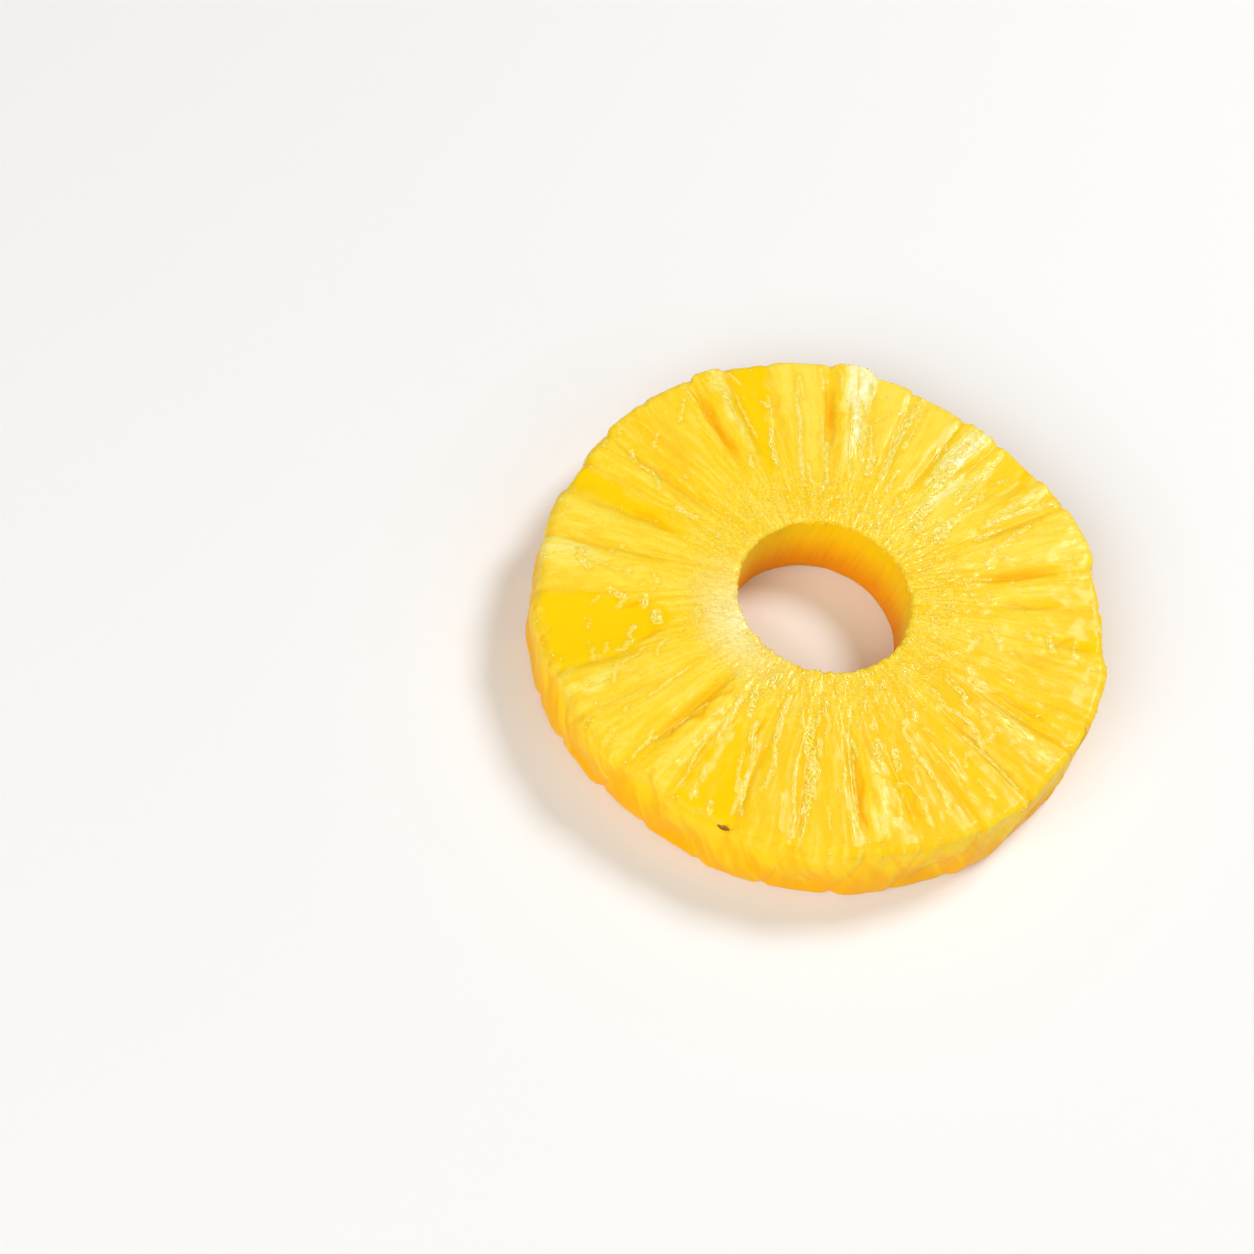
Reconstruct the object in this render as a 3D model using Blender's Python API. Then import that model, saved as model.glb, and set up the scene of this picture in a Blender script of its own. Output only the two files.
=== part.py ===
# Pineapple ring: a peeled and cored slice of the fruit, lying on its lower face.
# Metres, +Z up. The origin is under the middle of the hole, on the plane the slice rests on.
# Bearings are degrees counter-clockwise from +X, seen from above.

import math
from collections import namedtuple

import bmesh
import bpy
from mathutils import Vector, noise

MM = 0.001

# Driving dimensions, in millimetres
RING_RADIUS = 43.0
HOLE_RADIUS = 13.15
THICKNESS = 12.7

# Edges: the knife leaves the hole's rims almost sharp and the outer rims soft
HOLE_EDGE = 0.35
TOP_EDGE = 1.15
TOP_EDGE_WORN = 0.85
WORN_BEARING = 230.0
LOWER_EDGE = 1.0

# Side wall: fuller at half height, with a shallow scoop where each eye was cut out; the
# fruitlets lean by some degrees between the lower face and the top face
WALL_BULGE = 0.35
WALL_LEAN = 4.0
WALL_LUMP = 0.30
SCOOP_DEPTH = 0.75
SCOOP_RADIUS = 3.6
SCOOP_HEIGHTS = (0.30, 0.74)

# Clefts and notches between the fruitlets: a cleft deepens its notch by a share of its own
# depth, and half way down the wall the notches are shallow
CLEFT_WIDTH = 0.62
NOTCH_WIDTH = 0.75
NOTCH_DEPTH = 0.34
NOTCH_FROM_CLEFT = 0.3
NOTCH_FADE = 0.65
STEP_BLEND = 0.22
CROWN_FADE = 4.0
LOWER_FACE_SHARE = 0.7

# Unevenness of the cut: heights, and how many waves there are to a millimetre
WAVE_HEIGHT = 0.13
WAVE_SCALE = 0.05
GRAIN_HEIGHT = 0.07
GRAIN_SCALE = 0.45
HOLE_WAVE = 0.16
HOLE_SCALE = 0.30
LUMP_SCALE = 0.16
WAVE_SEED, LUMP_SEED, GRAIN_SEED, HOLE_SEED = 3.0, 5.0, 7.0, 11.0

# The fruitlets counter-clockwise: the bearing where each starts, how far its outer edge
# stands past RING_RADIUS, how far its cut face crowns (a juicy, sunken one is below zero),
# and the depth of the cleft at its start with the radii between which the cleft runs.
Fruitlet = namedtuple("Fruitlet", "start reach crown cleft cleft_from cleft_to")
FRUITLETS = [
    Fruitlet(11.0, -0.5, 0.10, 0.50, 33, 41),
    Fruitlet(21.5, -0.4, 0.12, 0.55, 26, 36),
    Fruitlet(31.8, 0.7, 0.20, 1.15, 24, 37),
    Fruitlet(47.0, 0.3, 0.10, 0.35, 26, 42),
    Fruitlet(55.5, -0.3, -0.38, 0.30, 32, 43),
    Fruitlet(66.5, -0.3, 0.22, 0.50, 26, 43),
    Fruitlet(75.5, -0.6, 0.10, 0.35, 24, 42),
    Fruitlet(87.5, 0.3, 0.05, 0.40, 26, 42),
    Fruitlet(96.0, 1.4, 0.42, 0.40, 28, 44),
    Fruitlet(106.2, 0.8, 0.15, 0.90, 26, 40),
    Fruitlet(120.0, 0.6, -0.32, 0.30, 24, 43),
    Fruitlet(129.0, 1.1, 0.32, 0.45, 26, 44),
    Fruitlet(137.5, 0.0, 0.10, 0.90, 26, 42),
    Fruitlet(149.0, 0.1, 0.12, 0.20, 30, 42),
    Fruitlet(161.0, -0.7, 0.20, 0.50, 22, 40),
    Fruitlet(169.5, -0.7, -0.36, 0.40, 27, 43),
    Fruitlet(177.5, -0.5, 0.15, 0.30, 26, 42),
    Fruitlet(189.5, -0.2, 0.30, 0.40, 24, 43),
    Fruitlet(203.0, 0.4, -0.50, 0.50, 28, 43),
    Fruitlet(222.0, 0.4, 0.25, 0.50, 28, 43),
    Fruitlet(232.5, 0.2, 0.10, 0.25, 28, 42),
    Fruitlet(245.5, -0.7, 0.35, 1.05, 20, 38),
    Fruitlet(256.0, -0.4, -0.42, 0.40, 24, 43),
    Fruitlet(269.0, 0.1, 0.10, 0.50, 24, 43),
    Fruitlet(282.0, 0.1, 0.20, 0.40, 22, 41),
    Fruitlet(295.5, 0.2, 0.30, 0.80, 23, 39),
    Fruitlet(307.0, 0.0, 0.10, 0.30, 27, 42),
    Fruitlet(319.0, 0.4, 0.15, 0.40, 26, 43),
    Fruitlet(332.0, -0.1, 0.30, 0.50, 24, 42),
    Fruitlet(346.0, 0.3, -0.28, 0.40, 26, 43),
    Fruitlet(353.5, 0.3, 0.12, 0.25, 30, 42),
]

# Mesh density: one column of points for about this many degrees, and the rows of each face
COLUMN_STEP = 2.0
HOLE_ROWS = (0.05, 0.30, 0.64, 0.95)
TOP_ROWS = (0.0, 0.08, 0.17, 0.27, 0.37, 0.47, 0.57, 0.67, 0.77, 0.86, 0.94, 1.0)
EDGE_ANGLES = (35.0, 68.0)
WALL_ROWS = (0.84, 0.68, 0.52, 0.36, 0.20)
LOWER_ROWS = (1.0, 0.80, 0.58, 0.34, 0.14, 0.0)

FLESH_COLOUR = (0.98, 0.68, 0.06, 1.0)
FLESH_ROUGHNESS = 0.32

Column = namedtuple("Column", "bearing fruitlet before after fraction turn")


def ramp(value, low, high):
    t = min(max((value - low) / (high - low), 0.0), 1.0)
    return t * t * (3.0 - 2.0 * t)


def bell(distance, width):
    return math.exp(-((distance / width) ** 2))


# Columns crowd towards the seams, so that each cleft has a crisp bottom
def ring_columns():
    columns = []
    count = len(FRUITLETS)
    for i, fruitlet in enumerate(FRUITLETS):
        before = FRUITLETS[i - 1]
        after = FRUITLETS[(i + 1) % count]
        turn = (after.start - fruitlet.start) % 360.0
        steps = max(4, round(turn / COLUMN_STEP))
        for k in range(steps):
            fraction = 0.5 - 0.5 * math.cos(math.pi * k / steps)
            bearing = fruitlet.start + turn * fraction
            columns.append(Column(bearing, fruitlet, before, after, fraction, turn))
    return columns


# Smooth unevenness that repeats after a full turn
def uneven(bearing, across, up, scale, seed):
    a = math.radians(bearing)
    spot = Vector((math.cos(a) * across, math.sin(a) * across, up)) * scale
    return noise.noise(spot + Vector((seed, 2.0 * seed, 0.0)))


# A cleft is deepest at the middle of its run
def cleft_depth(fruitlet, arc, radius):
    run = fruitlet.cleft_to - fruitlet.cleft_from
    along = (radius - fruitlet.cleft_from) / run
    if along <= 0.0 or along >= 1.0:
        return 0.0
    return fruitlet.cleft * math.sin(math.pi * along) ** 0.7 * bell(arc, CLEFT_WIDTH)


# Height of the cut face over its plane, in millimetres
def face_relief(column, radius):
    crown = column.fruitlet.crown * math.sin(math.pi * column.fraction) ** 0.6
    begins = column.fruitlet.cleft_from
    crown *= ramp(radius, begins - CROWN_FADE, begins + CROWN_FADE)
    to_start = math.radians(column.turn * column.fraction) * radius
    to_end = math.radians(column.turn * (1.0 - column.fraction)) * radius
    depth = cleft_depth(column.fruitlet, to_start, radius)
    depth += cleft_depth(column.after, to_end, radius)
    return crown - depth


# How deep the seams at a column's two sides cut into the outer edge
def notch_depth(column):
    to_start = math.radians(column.turn * column.fraction) * RING_RADIUS
    to_end = math.radians(column.turn * (1.0 - column.fraction)) * RING_RADIUS
    at_start = NOTCH_DEPTH + NOTCH_FROM_CLEFT * column.fruitlet.cleft
    at_end = NOTCH_DEPTH + NOTCH_FROM_CLEFT * column.after.cleft
    return at_start * bell(to_start, NOTCH_WIDTH) + at_end * bell(to_end, NOTCH_WIDTH)


def outer_radius(column):
    reach = column.fruitlet.reach
    left = 0.5 * (column.before.reach + reach)
    right = 0.5 * (column.after.reach + reach)
    step = left + (reach - left) * ramp(column.fraction, 0.0, STEP_BLEND)
    step += (right - reach) * ramp(column.fraction, 1.0 - STEP_BLEND, 1.0)
    return RING_RADIUS + step - notch_depth(column)


# How far the side wall stands in or out at a height, given as a share of the thickness
def wall_offset(column, share):
    middle = 1.0 - (2.0 * share - 1.0) ** 2
    bulge = middle * (WALL_BULGE + NOTCH_FADE * notch_depth(column))
    order = FRUITLETS.index(column.fruitlet)
    scoop_at = SCOOP_HEIGHTS[order % len(SCOOP_HEIGHTS)]
    along = math.radians(column.turn) * (column.fraction - 0.5) * RING_RADIUS
    up = (share - scoop_at) * THICKNESS
    scoop = SCOOP_DEPTH * bell(math.hypot(along, up), SCOOP_RADIUS)
    lump = uneven(column.bearing, RING_RADIUS, share * THICKNESS, LUMP_SCALE, LUMP_SEED)
    return bulge - scoop + WALL_LUMP * lump


def point(bearing, radius, height):
    a = math.radians(bearing)
    return (radius * math.cos(a) * MM, radius * math.sin(a) * MM, height * MM)


def hole_wall(column):
    points = []
    for share in HOLE_ROWS:
        height = share * THICKNESS
        wave = uneven(column.bearing, HOLE_RADIUS, height, HOLE_SCALE, HOLE_SEED)
        points.append(point(column.bearing, HOLE_RADIUS + HOLE_WAVE * wave, height))
    return points


def top_height(column, radius):
    wave = uneven(column.bearing, radius, 0.0, WAVE_SCALE, WAVE_SEED)
    grain = uneven(column.bearing, radius, 0.0, GRAIN_SCALE, GRAIN_SEED)
    flat = THICKNESS + WAVE_HEIGHT * wave + GRAIN_HEIGHT * grain
    return flat + face_relief(column, radius)


def top_face(column, rim, edge):
    points = []
    start = HOLE_RADIUS + HOLE_EDGE
    for share in TOP_ROWS:
        radius = start + (rim - edge - start) * share
        points.append(point(column.bearing, radius, top_height(column, radius)))
    return points


def top_edge(column, rim, edge):
    points = []
    crest = top_height(column, rim - edge)
    for angle in EDGE_ANGLES:
        a = math.radians(angle)
        radius = rim - edge + edge * math.sin(a)
        points.append(point(column.bearing, radius, crest - edge + edge * math.cos(a)))
    return points


def side_wall(column, rim):
    points = []
    for share in WALL_ROWS:
        bearing = column.bearing - WALL_LEAN * (1.0 - share)
        points.append(point(bearing, rim + wall_offset(column, share), share * THICKNESS))
    return points


def lower_edge(column, rim):
    points = []
    bearing = column.bearing - WALL_LEAN
    for angle in reversed(EDGE_ANGLES):
        a = math.radians(angle)
        radius = rim - LOWER_EDGE + LOWER_EDGE * math.sin(a)
        points.append(point(bearing, radius, LOWER_EDGE - LOWER_EDGE * math.cos(a)))
    return points


# The lower face is flat where it rests, and only clefts and sunken fruitlets leave the plane
def lower_face(column, rim):
    points = []
    start = HOLE_RADIUS + HOLE_EDGE
    for share in LOWER_ROWS:
        radius = start + (rim - LOWER_EDGE - start) * share
        hollow = max(0.0, -LOWER_FACE_SHARE * face_relief(column, radius))
        points.append(point(column.bearing - WALL_LEAN * share, radius, hollow))
    return points


# One closed outline of the slice, from the foot of the hole wall up and round
def section(column):
    rim = outer_radius(column)
    worn = max(0.0, math.cos(math.radians(column.bearing - WORN_BEARING)))
    edge = TOP_EDGE + TOP_EDGE_WORN * worn
    outline = hole_wall(column)
    outline += top_face(column, rim, edge)
    outline += top_edge(column, rim, edge)
    outline += side_wall(column, rim)
    outline += lower_edge(column, rim)
    outline += lower_face(column, rim)
    return outline


def flesh_material():
    material = bpy.data.materials.new("pineapple_flesh")
    material.use_nodes = True
    shader = material.node_tree.nodes["Principled BSDF"]
    shader.inputs["Base Color"].default_value = FLESH_COLOUR
    shader.inputs["Roughness"].default_value = FLESH_ROUGHNESS
    shader.inputs["Metallic"].default_value = 0.0
    return material


# The sections side by side, joined all round into one closed skin
def build_ring(name):
    sections = [section(column) for column in ring_columns()]
    skin = bmesh.new()
    rows = [[skin.verts.new(p) for p in outline] for outline in sections]
    for i, row in enumerate(rows):
        following = rows[(i + 1) % len(rows)]
        for k in range(len(row)):
            j = (k + 1) % len(row)
            skin.faces.new((row[k], row[j], following[j], following[k]))
    bmesh.ops.triangulate(skin, faces=skin.faces[:])
    bmesh.ops.recalc_face_normals(skin, faces=skin.faces[:])
    mesh = bpy.data.meshes.new(name)
    skin.to_mesh(mesh)
    skin.free()
    mesh.materials.append(flesh_material())
    mesh.shade_smooth()
    mesh.set_sharp_from_angle(angle=math.radians(50.0))
    ring = bpy.data.objects.new(name, mesh)
    bpy.context.scene.collection.objects.link(ring)
    return ring


for old in list(bpy.data.objects):
    bpy.data.objects.remove(old)
build_ring("pineapple_ring")
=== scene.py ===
import functools
import math

import bmesh
import bpy
import numpy as np
from mathutils import Matrix, Vector, noise


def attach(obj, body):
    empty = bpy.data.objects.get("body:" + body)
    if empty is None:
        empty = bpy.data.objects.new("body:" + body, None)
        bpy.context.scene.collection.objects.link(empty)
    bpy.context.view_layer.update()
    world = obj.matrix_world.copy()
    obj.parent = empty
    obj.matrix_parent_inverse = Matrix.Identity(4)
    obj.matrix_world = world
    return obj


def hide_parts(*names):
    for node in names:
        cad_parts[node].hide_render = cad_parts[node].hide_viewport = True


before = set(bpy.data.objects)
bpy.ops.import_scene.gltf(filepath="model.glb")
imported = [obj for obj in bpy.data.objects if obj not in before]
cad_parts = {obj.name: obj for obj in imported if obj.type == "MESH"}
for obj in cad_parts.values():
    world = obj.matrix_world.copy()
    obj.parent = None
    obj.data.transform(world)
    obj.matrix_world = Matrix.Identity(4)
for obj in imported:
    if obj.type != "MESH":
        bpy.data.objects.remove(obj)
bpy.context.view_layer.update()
mm = 0.001

# The slice's sizes in millimetres. They are the solid's, but for the hole's edge, the width
# of the clefts and the roundness of the crowns, which are softer here.
ring = {
    "radius": 43.0,
    "holeRadius": 13.15,
    "thickness": 12.7,
    "holeEdge": 0.6,
    "holeWall": (0.05, 0.95),  # shares of the thickness that it runs between
    "topEdge": 1.15,
    "topEdgeWorn": 0.85,      # the edge is softer on the worn side
    "wornBearing": 230.0,
    "lowerEdge": 1.0,
    "wallBulge": 0.35,
    "wallLean": 4.0,          # degrees between the lower and the upper face
    "footFrom": 0.85,         # from here down the wall's lumps fade
    "footFade": 0.6,
    "scoopDepth": 0.75,
    "scoopRadius": 3.6,
    "scoopHeights": (0.30, 0.74),
    "cleftWidth": 0.70,
    "cleftPower": 0.7,
    "notchWidth": 0.75,
    "notchDepth": 0.34,
    "notchFromCleft": 0.3,
    "notchFade": 0.65,
    "stepBlend": 0.22,
    "crownFade": 4.0,
    "crownRound": 0.9,
    "lowerShare": 0.7,
    "seamWidth": 1.0,
    "columnsPerDegree": 2.38,
    "columnCrowding": 0.5,
}
# Its uneven parts: height in millimetres, how fine, and seed; waver moves the marks aside, in
# degrees, so that no border runs straight
unevenness = {
    "wave": (0.13, 0.05, 3.0),
    "lump": (0.30, 0.16, 5.0),
    "grain": (0.07, 0.45, 7.0),
    "hole": (0.16, 0.30, 11.0),
    "waver": (2.4, 0.36, 13.0),
}

# Each fruitlet: bearing where it starts, reach past the radius, crown of its cut face,
# depth of the cleft at its start, and the radii the cleft runs between. The clefts at 189.5,
# 203 and 222 degrees are a little shallower than the solid's.
fruitlets = np.array([
    (11.0, -0.5, 0.10, 0.50, 33, 41),
    (21.5, -0.4, 0.12, 0.55, 26, 36),
    (31.8, 0.7, 0.20, 1.15, 24, 37),
    (47.0, 0.3, 0.10, 0.35, 26, 42),
    (55.5, -0.3, -0.38, 0.30, 32, 43),
    (66.5, -0.3, 0.22, 0.50, 26, 43),
    (75.5, -0.6, 0.10, 0.35, 24, 42),
    (87.5, 0.3, 0.05, 0.40, 26, 42),
    (96.0, 1.4, 0.42, 0.40, 28, 44),
    (106.2, 0.8, 0.15, 0.90, 26, 40),
    (120.0, 0.6, -0.32, 0.30, 24, 43),
    (129.0, 1.1, 0.32, 0.45, 26, 44),
    (137.5, 0.0, 0.10, 0.90, 26, 42),
    (149.0, 0.1, 0.12, 0.20, 30, 42),
    (161.0, -0.7, 0.20, 0.50, 22, 40),
    (169.5, -0.7, -0.36, 0.40, 27, 43),
    (177.5, -0.5, 0.15, 0.30, 26, 42),
    (189.5, -0.2, 0.30, 0.28, 24, 43),
    (203.0, 0.4, -0.50, 0.30, 28, 43),
    (222.0, 0.4, 0.25, 0.30, 28, 43),
    (232.5, 0.2, 0.10, 0.25, 28, 42),
    (245.5, -0.7, 0.35, 1.05, 20, 38),
    (256.0, -0.4, -0.42, 0.40, 24, 43),
    (269.0, 0.1, 0.10, 0.50, 24, 43),
    (282.0, 0.1, 0.20, 0.40, 22, 41),
    (295.5, 0.2, 0.30, 0.80, 23, 39),
    (307.0, 0.0, 0.10, 0.30, 27, 42),
    (319.0, 0.4, 0.15, 0.40, 26, 43),
    (332.0, -0.1, 0.30, 0.50, 24, 42),
    (346.0, 0.3, -0.28, 0.40, 26, 43),
    (353.5, 0.3, 0.12, 0.25, 30, 42),
])


def ramp(value, low, high):
    t = np.clip((value - low) / (high - low), 0.0, 1.0)
    return t * t * (3.0 - 2.0 * t)


def bell(distance, width):
    return np.exp(-((distance / width) ** 2))


# What the form needs to know of the fruitlet under each bearing, and of the next one
def locate(bearing):
    bearing = np.asarray(bearing, float)
    starts = fruitlets[:, 0]
    turned = (bearing - starts[0]) % 360.0 + starts[0]
    own = np.searchsorted(starts, turned, side="right") - 1
    after = (own + 1) % len(fruitlets)
    turn = (starts[after] - starts[own]) % 360.0
    place = {"bearing": bearing, "own": own, "turn": turn, "next": {}}
    place["fraction"] = np.clip((turned - starts[own]) / turn, 0.0, 1.0)
    for k, name in enumerate(("reach", "crown", "cleft", "cleftFrom", "cleftTo"), start=1):
        place[name] = fruitlets[own, k]
        place["next"][name] = fruitlets[after, k]
    place["reachBefore"] = fruitlets[own - 1, 1]
    return place


# Bearings of the mesh's columns, a little denser at the seams
def columnBearings():
    bearings = []
    crowding = ring["columnCrowding"]
    for i, start in enumerate(fruitlets[:, 0]):
        turn = (fruitlets[(i + 1) % len(fruitlets), 0] - start) % 360.0
        steps = round(turn * ring["columnsPerDegree"])
        t = np.arange(steps) / steps
        crowded = (1.0 - crowding) * t + crowding * (0.5 - 0.5 * np.cos(math.pi * t))
        bearings.append(start + turn * crowded)
    return np.concatenate(bearings)[:, None]


def uneven(name, bearing, across, up):
    height, scale, seed = unevenness[name]
    bearing, across, up = np.broadcast_arrays(np.radians(bearing), across, up)
    x = (np.cos(bearing) * across * scale + seed).ravel()
    y = (np.sin(bearing) * across * scale + 2.0 * seed).ravel()
    z = (up * scale).ravel()
    values = [noise.noise(Vector(p)) for p in zip(x.tolist(), y.tolist(), z.tolist())]
    return height * np.array(values).reshape(bearing.shape)


# How far a place lies from the seams on its two sides
def seamArcs(place, radius):
    shares = (place["fraction"], 1.0 - place["fraction"])
    return [np.radians(place["turn"] * share) * radius for share in shares]


def cleftDepth(side, arc, radius):
    along = np.clip((radius - side["cleftFrom"]) / (side["cleftTo"] - side["cleftFrom"]), 0.0, 1.0)
    return side["cleft"] * np.sin(math.pi * along) ** ring["cleftPower"] * bell(arc, ring["cleftWidth"])


def cleftsAt(place, radius):
    toStart, toEnd = seamArcs(place, radius)
    return cleftDepth(place, toStart, radius) + cleftDepth(place["next"], toEnd, radius)


def faceRelief(place, radius):
    crown = place["crown"] * np.sin(math.pi * place["fraction"]) ** ring["crownRound"]
    begins = place["cleftFrom"]
    crown = crown * ramp(radius, begins - ring["crownFade"], begins + ring["crownFade"])
    return crown - cleftsAt(place, radius)


def notchDepth(place):
    depth = 0.0
    for side, arc in zip((place, place["next"]), seamArcs(place, ring["radius"])):
        full = ring["notchDepth"] + ring["notchFromCleft"] * side["cleft"]
        depth = depth + full * bell(arc, ring["notchWidth"])
    return depth


def outerRadius(place):
    reach = place["reach"]
    left = 0.5 * (place["reachBefore"] + reach)
    right = 0.5 * (place["next"]["reach"] + reach)
    step = left + (reach - left) * ramp(place["fraction"], 0.0, ring["stepBlend"])
    step = step + (right - reach) * ramp(place["fraction"], 1.0 - ring["stepBlend"], 1.0)
    return ring["radius"] + step - notchDepth(place)


def wallOffset(place, share):
    middle = 1.0 - (2.0 * share - 1.0) ** 2
    bulge = middle * (ring["wallBulge"] + ring["notchFade"] * notchDepth(place))
    scoopAt = np.array(ring["scoopHeights"])[place["own"] % len(ring["scoopHeights"])]
    along = np.radians(place["turn"]) * (place["fraction"] - 0.5) * ring["radius"]
    up = (share - scoopAt) * ring["thickness"]
    scoop = ring["scoopDepth"] * bell(np.hypot(along, up), ring["scoopRadius"])
    return bulge - scoop + uneven("lump", place["bearing"], ring["radius"], share * ring["thickness"])


def topHeight(place, radius):
    flat = ring["thickness"] + uneven("wave", place["bearing"], radius, 0.0)
    return flat + uneven("grain", place["bearing"], radius, 0.0) + faceRelief(place, radius)


def topEdgeSize(place):
    worn = np.maximum(0.0, np.cos(np.radians(place["bearing"] - ring["wornBearing"])))
    return ring["topEdge"] + ring["topEdgeWorn"] * worn


# The skin as bands of rows round the section; each band gives zone, bearing, radius, height
rowCounts = {"bore": 10, "holeRim": 3, "face": 58, "topEdge": 7, "wall": 18, "lowerEdge": 4, "under": 8}


def skinBands():
    place = locate(columnBearings())
    bearing, lean, thickness = place["bearing"], ring["wallLean"], ring["thickness"]
    rim = outerRadius(place)
    edge = topEdgeSize(place)
    faceStart = ring["holeRadius"] + ring["holeEdge"]

    # hole wall, up from its foot
    share = np.linspace(*ring["holeWall"], rowCounts["bore"])[None, :]
    height = share * thickness + 0.0 * bearing
    radius = ring["holeRadius"] + uneven("hole", bearing, ring["holeRadius"], height)
    yield "bore", bearing + 0.0 * share, radius, height

    # the hole's upper rim, a quarter round
    a = np.radians(np.linspace(0.0, 90.0, rowCounts["holeRim"] + 2)[1:-1])[None, :]
    low = ring["holeWall"][1] * thickness
    first = radius[:, -1:]
    radius = first + (faceStart - first) * (1.0 - np.cos(a))
    crest = topHeight(place, faceStart + 0.0 * bearing)
    yield "face", bearing + 0.0 * a, radius, low + (crest - low) * np.sin(a)

    # upper cut face, outwards
    share = np.linspace(0.0, 1.0, rowCounts["face"])[None, :]
    radius = faceStart + (rim - edge - faceStart) * share
    yield "face", bearing + 0.0 * share, radius, topHeight(place, radius)

    # upper edge, rounded over
    a = np.radians(np.linspace(0.0, 90.0, rowCounts["topEdge"] + 1)[1:])[None, :]
    crest = topHeight(place, rim - edge)
    height = crest - edge + edge * np.cos(a)
    share = height / thickness
    radius = rim - edge + edge * np.sin(a) + wallOffset(place, share) * np.sin(a) ** 2
    yield "edge", bearing - lean * (1.0 - share) * np.sin(a) ** 2, radius, height

    # side wall, downwards
    t = np.linspace(0.0, 1.0, rowCounts["wall"] + 1)[None, 1:]
    top = (crest - edge) / thickness
    share = top + (ring["lowerEdge"] / thickness - top) * t
    radius = rim + wallOffset(place, share) * (1.0 - ramp(t, ring["footFrom"], 1.0) * ring["footFade"])
    yield "wall", bearing - lean * (1.0 - share), radius, share * thickness

    # lower edge
    a = np.radians(np.linspace(90.0, 0.0, rowCounts["lowerEdge"] + 2)[1:-1])[None, :]
    size = ring["lowerEdge"]
    last = radius[:, -1:]
    height = size - size * np.cos(a) + 0.0 * bearing
    yield "wall", bearing - lean + 0.0 * a, last - size + size * np.sin(a), height

    # lower face, inwards; flat where it rests
    share = np.linspace(1.0, 0.0, rowCounts["under"])[None, :]
    radius = faceStart + (last - size - faceStart) * share
    hollow = np.maximum(0.0, -ring["lowerShare"] * faceRelief(place, radius))
    yield "under", bearing - lean * share, radius, hollow


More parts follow.
